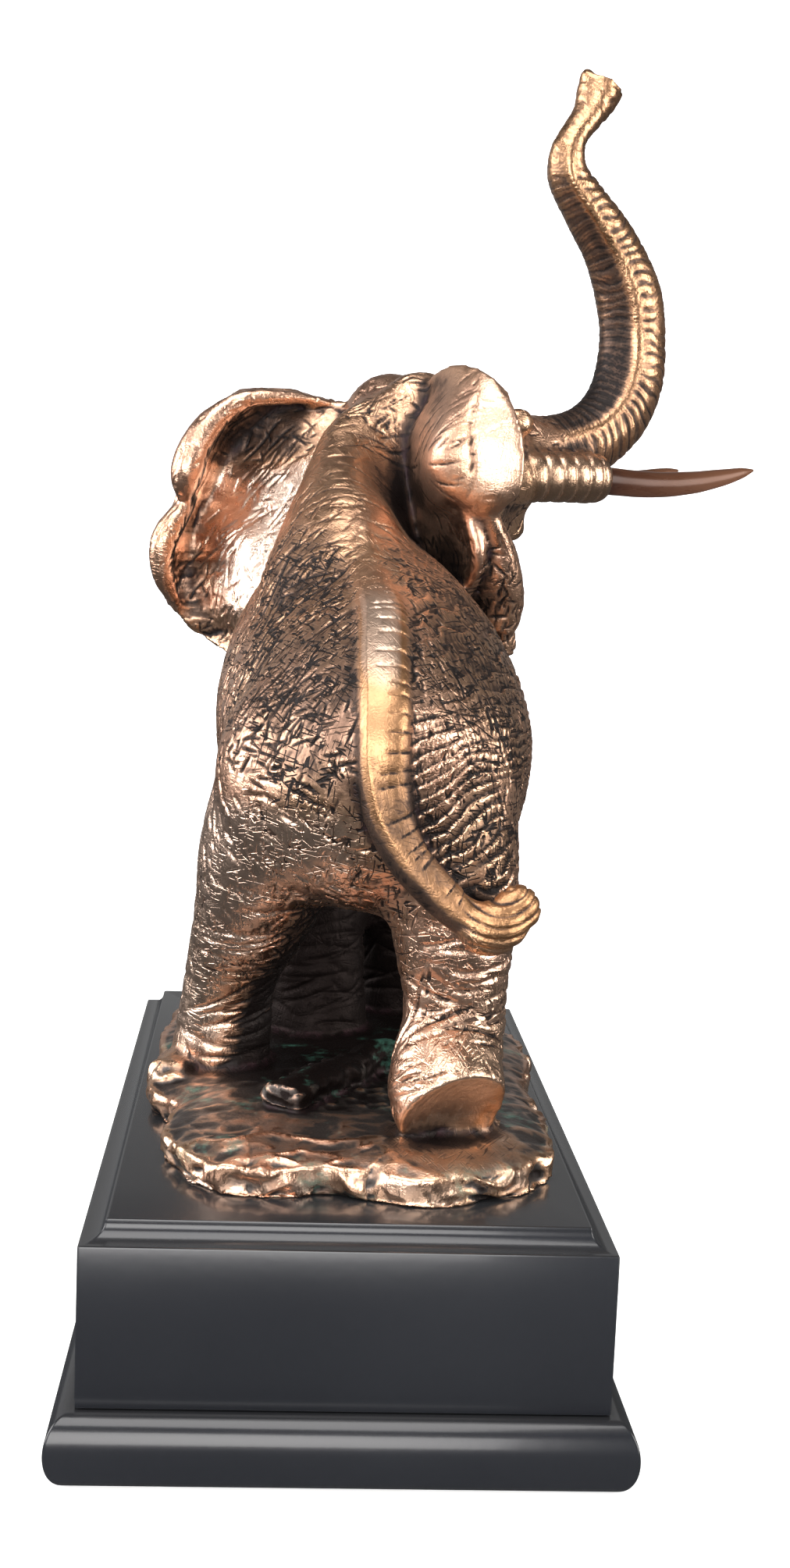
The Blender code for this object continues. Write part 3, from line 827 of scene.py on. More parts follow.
relief = {
    "clay": (0.28, 11.0),  # height and size of the modelled unevenness
    "skin": (0.05, 1.7),
    "crease": (0.05, 4.2),
    "crumple": (0.06, 2.2),
    "flankFold": (0.72, 3.6),  # depth and spacing
    "flankShadow": 0.32,  # the cut under each fold
    "flankTick": (0.12, 1.1),
    "neckArc": (0.20, 2.7),
    "trunkRing": (0.32, 3.4),
    "trunkRidge": 0.7,
    "trunkLine": 0.12,
    "sheathRing": (0.40, 4.4),
    "legRing": (0.22, 5.4),
    "earFurrow": 0.55,
    "panelStep": (0.32, 0.7),  # depth and width of the step at the right ear's panel
    "keel": 0.30,
    "nick": (0.42, 4.3),
    "comb": (0.5, 2.5),
    "turning": (0.06, 1.5),
    "turningCentre": (34, -76, 8),
    "soleRim": 0.35,
    "soleDish": 0.12,
    "rock": (2.1, 15.0),
    "rubble": (0.9, 2.4),
    "grit": (0.25, 5.0),
}


def box(points, low, high, soft=6.0):
    # 1 inside a box, easing to 0 over its soft edge
    inside = np.ones(len(points))
    for k in range(3):
        inside *= ramp(points[:, k], low[k] - soft, low[k] + soft)
        inside *= 1 - ramp(points[:, k], high[k] - soft, high[k] + soft)
    return inside


def warped(points, amount, scale, seed):
    # the points pushed about, so that noise read at them bends
    return points + amount * np.stack([fractal(points, scale, seed + k) for k in range(3)], axis=1)


def panelEdge(points):
    # distance past the line where the right ear's brushed panel starts
    x, y, z = points.T
    return x - 28 - 0.8 * np.sin(z / 4) - 0.05 * (z - 165)


def brushedOver(points, zones):
    # smooth wire-brushed metal: the spine as it leaves the neck, the right ear, the nape
    ear = zones["onEar"] * ((points[:, 0] > 10) & ((points[:, 0] < 32) | (points[:, 2] > 147)))
    nape = 0.45 * box(points, (-20, -20, 128), (22, 40, 174), 8.0) * (1 - zones["onEar"])
    return np.maximum(np.maximum(zones["spine"], 0.85 * ear), nape)


# each function from here to addRelief raises or sinks one region of the surface, in place
def roughenSkin(height, points, zones):
    depth, size = relief["skin"]
    height += depth * zones["skin"] * fractal(points, size, 11, 2)
    depth, size = relief["crease"]
    plain = zones["plain"]
    height -= depth * plain * creases(points * (1, 1, 0.55), size, 13) * zones["patch"]
    height -= 0.6 * depth * plain * creases(points * (0.6, 1, 1.2), 0.6 * size, 17)


def crumpleLeftSide(height, points, zones):
    # crumpled skin on the left flank and in the left ear
    depth, size = relief["crumple"]
    flank = box(points, (-50, -74, 84), (1, 30, 128))
    ear = 0.5 * zones["onEar"] * (points[:, 0] < 0) * ramp(zones["earOut"], 0.1, 0.3)
    crumpled = zones["plain"] * np.maximum(flank, ear)
    crumpled *= 0.35 + 0.65 * ramp(valueNoise(points, 12.0, 29), -0.5, 0.3)
    chosen = np.where(crumpled > 0.02)[0]
    tilted = points[chosen] @ np.array(Matrix.Rotation(math.radians(20), 3, "Y"))
    chip, edge = facets(tilted * (1, 1, 0.42), size, 19)
    height[chosen] += depth * crumpled[chosen] * (1.3 * chip - 0.5 * edge)


def foldRightFlank(height, points, zones):
    # folds of skin that lift as they leave the tail and fall at the side
    x, y, z = points.T
    wander = zones["wander"]
    depth, size = relief["flankFold"]
    flank = zones["plain"] * box(points, (9, -90, 60), (44, 20, 128), 4.0)
    outward = clamp((x - 8) / 38)
    lift = (8 + 22 * ramp(-z, -112, -80)) * outward - 16 * outward**4
    phase = (z - lift) / size + 0.5 * wander + 0.42 * zones["clay"]
    torn = ramp(valueNoise(points * (0.6, 0.6, 1.5), 8.0, 71), -0.35, 0.35)
    height += depth * flank * (overlaps(phase) - 0.45) * (0.25 + 0.75 * torn)
    height -= relief["flankShadow"] * flank * grooves(phase - 0.97, 16.0) * torn
    depth, size = relief["flankTick"]
    ticks = grooves((x + 0.3 * z) / size + 0.9 * wander, 3.0)
    height -= depth * flank * ticks * zones["patch"]


def arcNeck(height, points, zones):
    # fine arcs over the neck and withers
    x, y, z = points.T
    depth, size = relief["neckArc"]
    neck = zones["plain"] * box(points, (-34, -32, 120), (24, 46, 176), 7.0) * (1 - zones["onEar"])
    arcs = grooves((z + 0.045 * (x + 2) ** 2 - 0.25 * y) / size + 0.3 * zones["wander"], 7.0)
    height += depth * neck * arcs * ramp(valueNoise(points, 6.0, 61), -0.3, 0.2)


def ringTrunk(height, points, zones):
    # rings round the trunk, parted by a ridge along one side, and the hollow in its tip
    depth, size = relief["trunkRing"]
    onTrunk, across, patch = zones["onTrunk"], zones["trunkAcross"], zones["patch"]
    wander, ridgeAt = zones["wander"], trunk["ridge"]
    inward = ramp(across, ridgeAt, ridgeAt + 0.25)
    phase = zones["trunkAlong"] / size + 0.42 * wander + 0.5 * inward * across + 0.17 * zones["clay"]
    broad = grooves(phase, 1.5) * (0.55 + 0.45 * patch)
    tight = grooves(1.05 * phase + 0.3, 2.6) * (0.35 + 0.65 * patch)
    ridge = np.exp(-(((across - ridgeAt) / 0.2) ** 2))
    rings = np.where(across > ridgeAt, tight, 0.6 * broad)
    height -= depth * onTrunk * (1 - 0.9 * ridge) * rings
    height += relief["trunkRidge"] * onTrunk * ridge * (1 - ramp(points[:, 2], 240, 258))
    height -= relief["trunkLine"] * onTrunk * grooves(2.7 * phase + wander, 3)
    tip, before = (np.array(row[:3]) for row in (trunkPath()[-1], trunkPath()[-2]))
    ahead = (tip - before) / np.linalg.norm(tip - before)
    past = (points - tip) @ ahead
    middle = np.linalg.norm(points - tip - past[:, None] * ahead, axis=1)
    height -= trunk["cup"] * onTrunk * ramp(past, -1.5, -0.2) * (1 - ramp(middle, 2.4, 5.2))


def ringSheaths(height, points, zones):
    depth, size = relief["sheathRing"]
    phase = zones["sheathAlong"] / size + 0.08 * zones["wander"]
    height -= depth * zones["onSheath"] * grooves(phase, 4.0)


def ringLegs(height, points, zones):
    depth, size = relief["legRing"]
    phase = points[:, 2] / size + 0.5 * zones["wander"] + 0.25 * zones["clay"]
    broken = ramp(valueNoise(points * (0.7, 0.7, 1.2), 10.0, 43), -0.5, 0.1)
    deeper = np.where(points[:, 0] < -4, 1.9, 1.2)
    height -= deeper * depth * zones["onLeg"] * (1 - zones["sole"]) * grooves(phase, 3.5) * broken


def furrowEars(height, points, zones):
    # furrows that fan out over the ears, and the step at the right ear's brushed panel
    x, y, z = points.T
    onEar = zones["onEar"]
    fan = grooves(zones["earRound"] * ears["furrows"] + 0.35 * zones["wander"], 1.6)
    fan *= ramp(zones["earOut"], 0.3, 0.8) * (1 - 0.6 * ramp(z, 128, 150))
    height -= relief["earFurrow"] * onEar * (1 - zones["stone"]) * fan * np.where(x < 0, 1, 0.2)
    depth, width = relief["panelStep"]
    step = np.exp(-((panelEdge(points) / width) ** 2)) * (x > 10) * ramp(z, 148, 154)
    height -= depth * onEar * step * (1 - ramp(z, 174, 179))


def nickTail(height, points, zones):
    # nicks across the spine and tail, a ridge along their left edge, and the combed tuft
    along, across, wander = zones["tailAlong"], zones["tailAcross"], zones["wander"]
    band, hairless = zones["band"], 1 - zones["tuft"]
    keel = np.exp(-(((across - tail["keel"]) / 0.09) ** 2))
    height += relief["keel"] * band * hairless * keel * (1 - ramp(along, 120, 140))
    depth, size = relief["nick"]
    spacing = along / size + 0.8 * valueNoise(np.stack([along, 0 * along, 0 * along], 1), 6.0, 3)
    nick = grooves(spacing + 0.12 * across, 40.0)
    nick = nick * ramp(across, -0.3 + 0.5 * wander, 0.1 + 0.5 * wander)
    height -= depth * band * hairless * nick
    depth, size = relief["comb"]
    around = points - np.array(tail["tuft"]) - (0, 0, 11.5)
    comb = grooves(np.hypot(around[:, 0], around[:, 2]) / size + 0.06 * wander, 5.0)
    height -= depth * zones["tuft"] * comb


def turnSole(height, points, zones):
    # turning marks on the raised sole, its rim and its shallow dish
    sole = zones["sole"]
    depth, size = relief["turning"]
    out = np.linalg.norm(points - relief["turningCentre"], axis=1)
    height -= depth * sole * grooves(out / size + 0.2 * zones["wander"], 2.0)
    rim = np.linalg.norm(points - raisedFoot[-1][:3], axis=1) / 12.6
    height += relief["soleRim"] * sole * np.exp(-(((rim - 0.97) / 0.06) ** 2))
    height -= relief["soleDish"] * sole * (1 - ramp(rim, 0.72, 0.92))


def chipRock(height, points, zones):
    # large chips with small ones on them, rougher on the edge than on top
    chosen = np.where(zones["stone"] > 0.02)[0]
    stone, rocky = zones["stone"][chosen], points[chosen]
    depth, size = relief["rubble"]
    rubble = box(rocky, (-16, -52, 2), (14, -20, 16), 3.0) * (1 - ramp(rocky[:, 2], 14, 16))
    height[chosen] += depth * rubble * stone * valueNoise(rocky, size, 53)
    depth, size = relief["rock"]
    large = facets(rocky * (1, 1, 1.3), size, 31)[0]
    bent = warped(rocky, 2.5, 9.0, 83)
    folded = 1 - 2 * np.abs(valueNoise(bent * (0.55, 0.9, 1.5), 0.6 * size, 37))
    finer = 1 - 2 * np.abs(valueNoise(bent * (0.5, 0.9, 1.7), 0.3 * size, 47))
    steep = 1 - ramp(zones["upward"][chosen], 0.55, 0.95)
    worked = 0.2 + 0.35 * (1 - ramp(rocky[:, 1], -78, -56)) + 0.6 * steep
    chips = worked * (0.25 * large + 0.6 * folded + 0.45 * finer)
    height[chosen] += depth * stone * chips
    depth, size = relief["grit"]
    height[chosen] += depth * stone * fractal(rocky * (0.5, 1, 1), size, 41)


def addRelief(points, normals, zones):
    band, stone, onSheath = zones["band"], zones["stone"], zones["onSheath"]
    skin = (1 - band) * (1 - stone) * (1 - 0.85 * zones["sole"])
    skin *= (1 - 0.8 * brushedOver(points, zones)) * (1 - 0.8 * onSheath)
    zones = {
        **zones,
        "skin": skin,
        "plain": skin * (1 - zones["onTrunk"]) * (1 - onSheath),
        "clay": fractal(points, relief["clay"][1], 3),
        "wander": valueNoise(points, 7.0, 5),
        "patch": ramp(valueNoise(points * (1, 1, 0.6), 9.0, 23), -0.45, 0.25),
        "upward": normals[:, 2],
    }
    height = relief["clay"][0] * zones["clay"] * (1 - 0.85 * np.maximum(band, onSheath))
    regions = (
        roughenSkin, crumpleLeftSide, foldRightFlank, arcNeck, ringTrunk, ringSheaths,
        ringLegs, furrowEars, nickTail, turnSole, chipRock,
    )
    for work in regions:
        work(height, points, zones)
    return height


strokes = {  # lowest and highest corner, how many, grain, spread in degrees, length, half width, depth
    "left haunch, level": ((-45, -75, 36), (2, -2, 96), 260, (1, 0.2, -0.25), 16, (2.0, 5.5), 0.34, 0.55),
    "left haunch, steep": ((-45, -75, 36), (2, -2, 104), 250, (0.15, 0.1, 1), 18, (2.0, 6.0), 0.34, 0.5),
    "left flank": ((-45, -66, 88), (0, 40, 150), 380, (0.55, 0.1, 1), 26, (1.5, 6.0), 0.34, 0.5),
    "left flank, crossing": ((-45, -66, 88), (0, 40, 150), 180, (1, 0.3, -0.35), 30, (1.2, 4.0), 0.28, 0.36),
    "left flank, creases": ((-45, -60, 92), (-4, 20, 132), 16, (0.8, 0.2, 1), 14, (10, 22), 0.7, 0.6),
    "right flank": ((10, -78, 62), (48, 40, 140), 760, (0.1, 0, 1), 24, (1.2, 3.6), 0.32, 0.42),
    "neck and withers": ((-30, -20, 126), (24, 52, 176), 210, (1, 0, 0.12), 16, (4, 13), 0.32, 0.38),
    "crown and nape": ((-12, 36, 160), (34, 82, 192), 240, (0.7, 0, 1), 80, (1.5, 5), 0.4, 0.42),
    "left ear, long": ((-56, 44, 112), (-8, 82, 172), 150, (0.6, 0, 0.8), 14, (6, 16), 0.34, 0.3),
    "left ear, short": ((-56, 44, 100), (-8, 82, 174), 330, (1, 0, 0.6), 60, (1.5, 5), 0.34, 0.34),
    "right ear": ((24, -2, 105), (50, 36, 182), 150, (1, -0.3, 0.6), 60, (1.5, 6), 0.34, 0.4),
    "lower legs": ((-48, -80, 12), (44, 64, 60), 420, (0.1, 0, 1), 30, (1.2, 4), 0.32, 0.35),
    "leg creases": ((-48, -80, 12), (44, 64, 54), 330, (1, 0, 0.12), 7, (7, 22), 0.48, 0.6),
    "belly and chest": ((-48, 0, 50), (50, 66, 128), 900, (0.3, 0.3, 1), 70, (1.5, 6), 0.34, 0.42),
    "face": ((20, 36, 130), (76, 100, 186), 260, (0.3, 0.3, 1), 80, (1.5, 5), 0.32, 0.35),
    "trunk": ((60, 60, 150), (94, 106, 275), 420, (1, 0.5, 0.1), 25, (1.5, 5), 0.36, 0.32),
}


def traceStroke(surface, start, normal, direction, length):
    samples = [start]
    reach, step = 0.0, 0.4
    bend = rng.uniform(-0.5, 0.5) * step / length
    while reach < length:
        direction = (direction - normal * direction.dot(normal)).normalized()
        direction = Matrix.Rotation(bend, 3, normal) @ direction
        found, normal, index, gap = surface.find_nearest(samples[-1] + direction * step)
        if found is None:
            break
        samples.append(found)
        reach += step
    return samples


def cutAlong(line, tree, carved, width, depth):
    # a groove with a low burr at each side, tapering to both ends
    for k, sample in enumerate(line):
        taper = math.sin(math.pi * (k + 0.6) / (len(line) + 0.2)) ** 0.5
        for found, index, gap in tree.find_range(sample, 2.0 * width):
            r = gap / width
            cut = 1.15 * math.exp(-r * r) - 0.06 * math.exp(-3 * (r - 1.7) ** 2)
            cut *= depth * taper
            if abs(cut) > abs(carved[index]):
                carved[index] = cut


def carve(points, normals, keep, surface):
    tree = KDTree(len(points))
    for i, point in enumerate(points):
        tree.insert(point, i)
    tree.balance()
    carved = np.zeros(len(points))
    for low, high, count, grain, spread, length, width, depth in strokes.values():
        inside = np.where(((points > low) & (points < high)).all(axis=1) & (keep > 0.5))[0]
        if not len(inside):
            continue
        grain = Vector(grain).normalized()
        for n in range(count):
            i = inside[rng.randrange(len(inside))]
            normal = Vector(normals[i])
            turn = math.radians(rng.gauss(0, spread * 0.6))
            direction = Matrix.Rotation(turn, 3, normal) @ grain
            long = rng.uniform(*length)
            line = traceStroke(surface, Vector(points[i]), normal, direction, long)
            wide = width * rng.uniform(0.8, 1.25)
            deep = depth * rng.uniform(0.6, 1.3)
            cutAlong(line, tree, carved, wide, deep)
    return carved * keep


def cavities(points, normals, height, edges):
    # how deep each point lies in the relief, and how far it stands out of the forms round it
    fine = blurred(height, edges, 12)
    wide = blurred(fine, edges, 60)
    dirt = clamp(0.5 + 1.5 * (0.6 * fine + 0.4 * wide - height))
    soft = np.stack([blurred(points[:, k], edges, 40) for k in range(3)], axis=1)
    bend = ((soft - points) * normals).sum(axis=1)
    return dirt, clamp(bend * 2.2), clamp(-bend * 2.2)


def writeLayers(mesh, layers):
    for name, values in layers.items():
        made = mesh.attributes.get(name) or mesh.attributes.new(name, "FLOAT", "POINT")
        made.data.foreach_set("value", np.asarray(values, dtype=np.float32))


def readLayers(mesh, names):
    layers = {}
    for name in names:
        values = np.empty(len(mesh.vertices), dtype=np.float32)
        mesh.attributes[name].data.foreach_get("value", values)
        layers[name] = values.astype(float)
    return layers


def shown(name, mesh):
    made = bpy.data.objects.new(name, mesh)
    bpy.context.scene.collection.objects.link(made)
    return made


def splitFiner(mesh):
    made = shown("finer", mesh)
    split = made.modifiers.new("split", "SUBSURF")
    split.levels = split.render_levels = 1
    return evaluated(made)


def thinned(mesh, triangles):
    made = shown("thinned", mesh)
    thin = made.modifiers.new("thin", "DECIMATE")
    thin.ratio = triangles / sum(len(p.vertices) - 2 for p in mesh.polygons)
    return evaluated(made)


patina = {
    "areas": [  # part, how much is left (below 0, rubbed off, and past -0.08 painted pale as a highlight), lowest and highest corner, soft edge
        ("all", 0.16, (-52, -80, 104), (0, 40, 140), 9),  # left flank
        ("all", 0.24, (-38, -84, 86), (-2, -42, 110), 6),  # left of the tail
        ("all", 0.12, (8, -80, 60), (50, 40, 140), 6),  # right flank
        ("metal", -0.30, (-60, -90, 14), (0, 0, 82), 6),  # left hind leg, lighter and pale: partly rubbed metal, partly painted light
        ("metal", -0.16, (8, -90, 14), (50, -30, 58), 6),  # right hind leg
        ("band", -0.34, (-6, -80, 104), (14, -30, 130), 7),  # where the tail leaves the back, rubbed and painted pale: a painted highlight
        ("body", 0.10, (-22, -24, 126), (22, 46, 176), 8),  # neck
        ("leftEar", -0.42, (-40, 36, 124), (-10, 90, 160), 8),  # the dish of the left ear, painted lighter and pale: painted light
        ("rightEar", 0.22, (14, 22, 120), (31, 60, 148), 5),  # under the fold of the right ear
        ("rock", 0.85, (-26, -62, 11), (20, -4, 24), 1.5),  # the branch
    ],
    "spine": -0.10,
    "sheath": -0.18,
    # painted shade on the tail's rounded edges
    "paintedShadeTailEdges": 0.35,
    "between": 0.9,  # painted shade between the legs
    "rockSideRubbedPaintedSheen": -0.28,
    "rockTop": 0.12,
}


def patinaOnTrunk(z, zones):
    leftOfRidge = 1 - ramp(zones["trunkAcross"], trunk["ridge"] - 0.2, trunk["ridge"])
    patinaAndPaintedLight = 0.26 * (1 - ramp(z, 225, 250)) * leftOfRidge + 0.10 + 0.14 * (1 - ramp(z, 188, 214))
    return patinaAndPaintedLight * zones["onTrunk"] + patina["sheath"] * zones["onSheath"]


def patinaOnTail(zones):
    across, bare = zones["tailAcross"], zones["band"] * (1 - zones["tuft"])
    # painted shade: darker towards both edges of the tail, on its rounded sides
    edges = patina["paintedShadeTailEdges"] * (ramp(-across, 0.8, 0.95) + ramp(across, 0.45, 0.9))
    return bare * (edges + 0.22 * ramp(zones["tailAlong"], 88, 104)) + patina["spine"] * zones["spine"]


# painted shade: the inner sides of the legs and the underside between them are painted darker
def paintedShadeBetweenLegs(points, normals, stone):
    x, y, z = points.T
    inner = ramp(-normals[:, 0] * np.sign(x - 2), 0.05, 0.55) * (1 - ramp(z, 56, 76))
    between = (1 - ramp(np.abs(x - 2), 18, 36)) * ramp(y, -38, -18) * (1 - ramp(z, 60, 78))
    between *= 1 - 0.85 * ramp(y, 5, 30) * ramp(normals[:, 1], -0.35, 0.35) * (1 - stone)
    return patina["between"] * np.maximum(inner * ramp(y, -64, -30), between) * (1 - 0.3 * stone)


def earPatinaAndPaintedLight(points, zones):
    x, y, z = points.T
    # left ear: a painted shadow inside the roll at its top, darker low in the ear, and a painted highlight,
    # lighter and pale, along its near rim
    patinaAndPaintedLight = 0.30 * box(points, (-42, 50, 158), (-14, 90, 174), 4.0) * ramp(y, 56, 62)
    patinaAndPaintedLight += 0.16 * (1 - ramp(z, 122, 140)) * ramp(y, 46, 54) - 0.25 * (1 - ramp(y, 54, 59))
    # right ear: painted shade on the ridge side of the panel's step and darker near the head; the brushed
    # panel is lighter, partly real brushing, partly a painted highlight
    fold = 0.16 - 0.30 * ramp(panelEdge(points), -0.8, 0.8) + 0.15 * (1 - ramp(x, 20, 24))
    right = 0.12 * (1 - ramp(z, 142, 152)) * ramp(x, 30, 33) + fold * ramp(z, 146, 152)
    return zones["onEar"] * (patinaAndPaintedLight * (x < 0) + right * (x > 10))


def patinaOnRock(points, normals, stone):
    # the steep sides are rubbed lighter and painted pale, partly a painted highlight; dark patina stays in
    # the cracks and patches
    side = stone * (1 - ramp(normals[:, 2], 0.35, 0.75))
    bent = warped(points, 3, 8.0, 93)
    patinaAndPaintedLight = patina["rockSideRubbedPaintedSheen"] + 0.42 * creases(bent * (0.6, 0.6, 1.5), 8.0, 95, 4)
    patinaAndPaintedLight += 0.35 * ramp(fractal(bent * (0.5, 0.6, 1.5), 12.0, 91), 0.15, 0.5)
    top = stone * ramp(normals[:, 2], 0.5, 0.9) * ramp(points[:, 1], -82, -55)
    return side * patinaAndPaintedLight + patina["rockTop"] * top


def paintedLightAndPatinaOver(points, normals, zones):
    # how much more of the dark patina was left, or, below 0, how much more was rubbed off; painted shade
    # between the legs, on the tail's edges and in the ears, and painted highlight where it is below 0 and
    # the metal turns pale
    x, y, z = points.T
    stone, onEar = zones["stone"], zones["onEar"]
    parts = {
        "all": 1,
        "metal": 1 - stone,
        "rock": stone,
        "band": zones["band"],
        "body": 1 - onEar,
        "leftEar": onEar * (x < 0),
        "rightEar": onEar * (x > 10),
    }
    patinaAndPaintedLight = np.zeros(len(points))
    for part, amount, low, high, soft in patina["areas"]:
        patinaAndPaintedLight += amount * parts[part] * box(points, low, high, soft)
    patinaAndPaintedLight += patinaOnTrunk(z, zones) + patinaOnTail(zones) + earPatinaAndPaintedLight(points, zones)
    patinaAndPaintedLight += paintedShadeBetweenLegs(points, normals, stone) + patinaOnRock(points, normals, stone)
    return patinaAndPaintedLight + zones["sole"] * (0.4 * ramp(x - 0.35 * z, 23, 28) - 0.12)


def dashesOver(points, zones):
    # where the graver's dashes are thick: the rump, the flanks and the thighs
    dashes = 0.22 + 0.78 * box(points, (-60, -90, 34), (60, 16, 138), 7.0)
    dashes *= 1 - 0.75 * zones["onEar"] * np.where(points[:, 0] > 24, 0.4, 1)
    return dashes * (1 - 0.75 * zones["onTrunk"]) * (1 - zones["onSheath"]) * (1 - zones["stone"])


def giltOver(points, zones):
    # where the rubbed metal is a deeper gold
    neck = 0.45 * box(points, (-30, -40, 116), (24, 50, 180), 10.0) * (1 - zones["onEar"])
    trunkward = 0.72 * np.maximum(zones["onTrunk"], zones["onSheath"])
    tailward = np.maximum(0.95 * zones["band"], 0.7 * zones["sole"])
    return np.maximum(np.maximum(tailward, trunkward), neck)


def takePart(name, corners, chosen, points, normals, layers):
    # some of the casting's triangles as a mesh of their own, with the whole casting's normals
    faces = corners[chosen]
    used, local = np.unique(faces, return_inverse=True)
    made = bpy.data.meshes.new(name)
    made.vertices.add(len(used))
    made.vertices.foreach_set("co", points[used].ravel())
    made.loops.add(faces.size)
    made.loops.foreach_set("vertex_index", local.ravel().astype(np.int32))
    made.polygons.add(len(faces))
    made.polygons.foreach_set("loop_start", np.arange(0, faces.size, 3, dtype=np.int32))
    made.polygons.foreach_set("use_smooth", np.ones(len(faces), dtype=bool))
    made.update(calc_edges=True)
    writeLayers(made, {key: values[used] for key, values in layers.items()})
    made.normals_split_custom_set_from_vertices(normals[used])
    return shown(name, made)


def partOf(points, corners, layers):
    # for each triangle, its shown part's place in casting["parts"]
    middle = points[corners].mean(axis=1)
    high = middle[:, 2]
    headward = layers["head"][corners].mean(axis=1) > 0.5
    headward |= np.linalg.norm(middle - np.array(head["centre"]), axis=1) < casting["headReach"]
    trunkward = middle @ np.array(headForward) > casting["trunkStart"]
    label = np.full(len(corners), 1)
    label[high < casting["legTop"]] = 2
    label[headward & (high > casting["headLow"])] = 3
    label[trunkward & (high > casting["trunkLow"])] = 4
    label[layers["stone"][corners].mean(axis=1) > 0.5] = 0
    return label


def workSurface(mesh, zones, surface):
    # lays the relief and the strokes, and leaves the layers that the bronze reads on the mesh
    points, normals = readPoints(mesh)
    zones = readLayers(mesh, zones)
    height = addRelief(points, normals, zones)
    brushed = brushedOver(points, zones)
    print("relief laid")
    keep = (1 - zones["band"]) * (1 - zones["stone"]) * (1 - zones["sole"])
    keep *= (1 - 0.6 * zones["onTrunk"]) * (1 - zones["onSheath"]) * (1 - 0.4 * brushed)
    height -= carve(points, normals, keep, surface)
    print("strokes carved")
    dirt, sink, crest = cavities(points, normals, height, edgesOf(mesh))
    layers = {
        "dirt": dirt,
        "sink": sink,
        "crest": crest,
        "shade": zones["shade"],
        "stone": zones["stone"],
        "calm": np.maximum(np.maximum(zones["band"], zones["sole"]), 0.7 * brushed),
        "level": zones["stone"] * ramp(normals[:, 2], 0.55, 0.95),
        # patina, with painted shade and painted highlight mixed in
        "patinaAndPaintedLight": paintedLightAndPatinaOver(points, normals, zones),
        "dashes": dashesOver(points, zones),
        "gilt": giltOver(points, zones),
        "head": np.maximum(zones["onEar"], np.maximum(zones["onTrunk"], zones["onSheath"])),
    }
    moved = points + normals * height[:, None]
    moved[:, 2] = np.where(points[:, 2] < casting["flatBelow"], points[:, 2], moved[:, 2])
    moved[:, 2] = np.maximum(moved[:, 2], 0.02)
    mesh.vertices.foreach_set("co", moved.ravel())
    mesh.update()
    writeLayers(mesh, layers)
    return list(layers)


def makeCasting(finish):
    forms = buildForms()
    print("forms fused:", len(forms.vertices), "points")
    zones, surface = zonesOf(forms)
    writeLayers(forms, zones)
    print("zones found")
    mesh = splitFiner(forms)
    print("surface split:", len(mesh.vertices), "points")
    names = workSurface(mesh, zones, surface)
    mesh = thinned(mesh, casting["triangles"])
    points, normals = readPoints(mesh)
    layers = readLayers(mesh, names)
    mesh.calc_loop_triangles()
    corners = np.empty(len(mesh.loop_triangles) * 3, dtype=np.int64)
    mesh.loop_triangles.foreach_get("vertices", corners)
    corners = corners.reshape(-1, 3)
    label = partOf(points, corners, layers)
    del layers["head"]
    points = (points + (0, 0, castingBase)) * mm
    pieces = []
    for k, name in enumerate(casting["parts"]):
        chosen = label == k
        piece = takePart(name, corners, chosen, points, normals, layers)
        piece.data.materials.append(finish)
        pieces.append(piece)
        print(name, "finished:", int(chosen.sum()), "triangles")
    bpy.data.meshes.remove(mesh)
    return pieces


def shaderTree(name):
    made = bpy.data.materials.new(name)
    made.use_nodes = True
    tree = made.node_tree
    return made, tree, tree.nodes["Principled BSDF"]


def addNode(tree, kind, sockets=None, **settings):
    node = tree.nodes.new("ShaderNode" + kind)
    for key, value in settings.items():
        setattr(node, key, value)
    for key, value in (sockets or {}).items():
        if isinstance(value, bpy.types.NodeSocket):
            tree.links.new(value, node.inputs[key])
        else:
            node.inputs[key].default_value = value
    return node


def maths(tree, operation, a, b=0.0, c=0.0, limit=False):
    sockets = {0: a, 1: b, 2: c}
    return addNode(tree, "Math", sockets, operation=operation, use_clamp=limit).outputs[0]


def blend(tree, share, a, b):
    node = addNode(tree, "Mix", {"Factor": share}, data_type="RGBA")
    for index, value in ((6, a), (7, b)):
        if isinstance(value, bpy.types.NodeSocket):
            tree.links.new(value, node.inputs[index])
        else:
            node.inputs[index].default_value = (*value, 1)
    return node.outputs[2]


def span(tree, value, low, high, out=(0.0, 1.0)):
    sockets = {"Value": value, "From Min": low, "From Max": high, "To Min": out[0], "To Max": out[1]}
    return addNode(tree, "MapRange", sockets).outputs["Result"]


def layer(tree, name):
    return addNode(tree, "Attribute", attribute_name=name).outputs["Fac"]


def speckle(tree, place, scale, detail=3.0, stretch=(1, 1, 1), roughness=0.5):
    moved = addNode(tree, "Mapping", {"Vector": place, "Scale": stretch}).outputs[0]
    sockets = {"Vector": moved, "Scale": scale, "Detail": detail, "Roughness": roughness}
    return addNode(tree, "TexNoise", sockets).outputs["Fac"]


def vectors(tree, operation, a, b, c=(0, 0, 0)):
    node = addNode(tree, "VectorMath", {0: a, 1: b, 2: c}, operation=operation)
    return node.outputs["Value"] if operation == "DOT_PRODUCT" else node.outputs["Vector"]


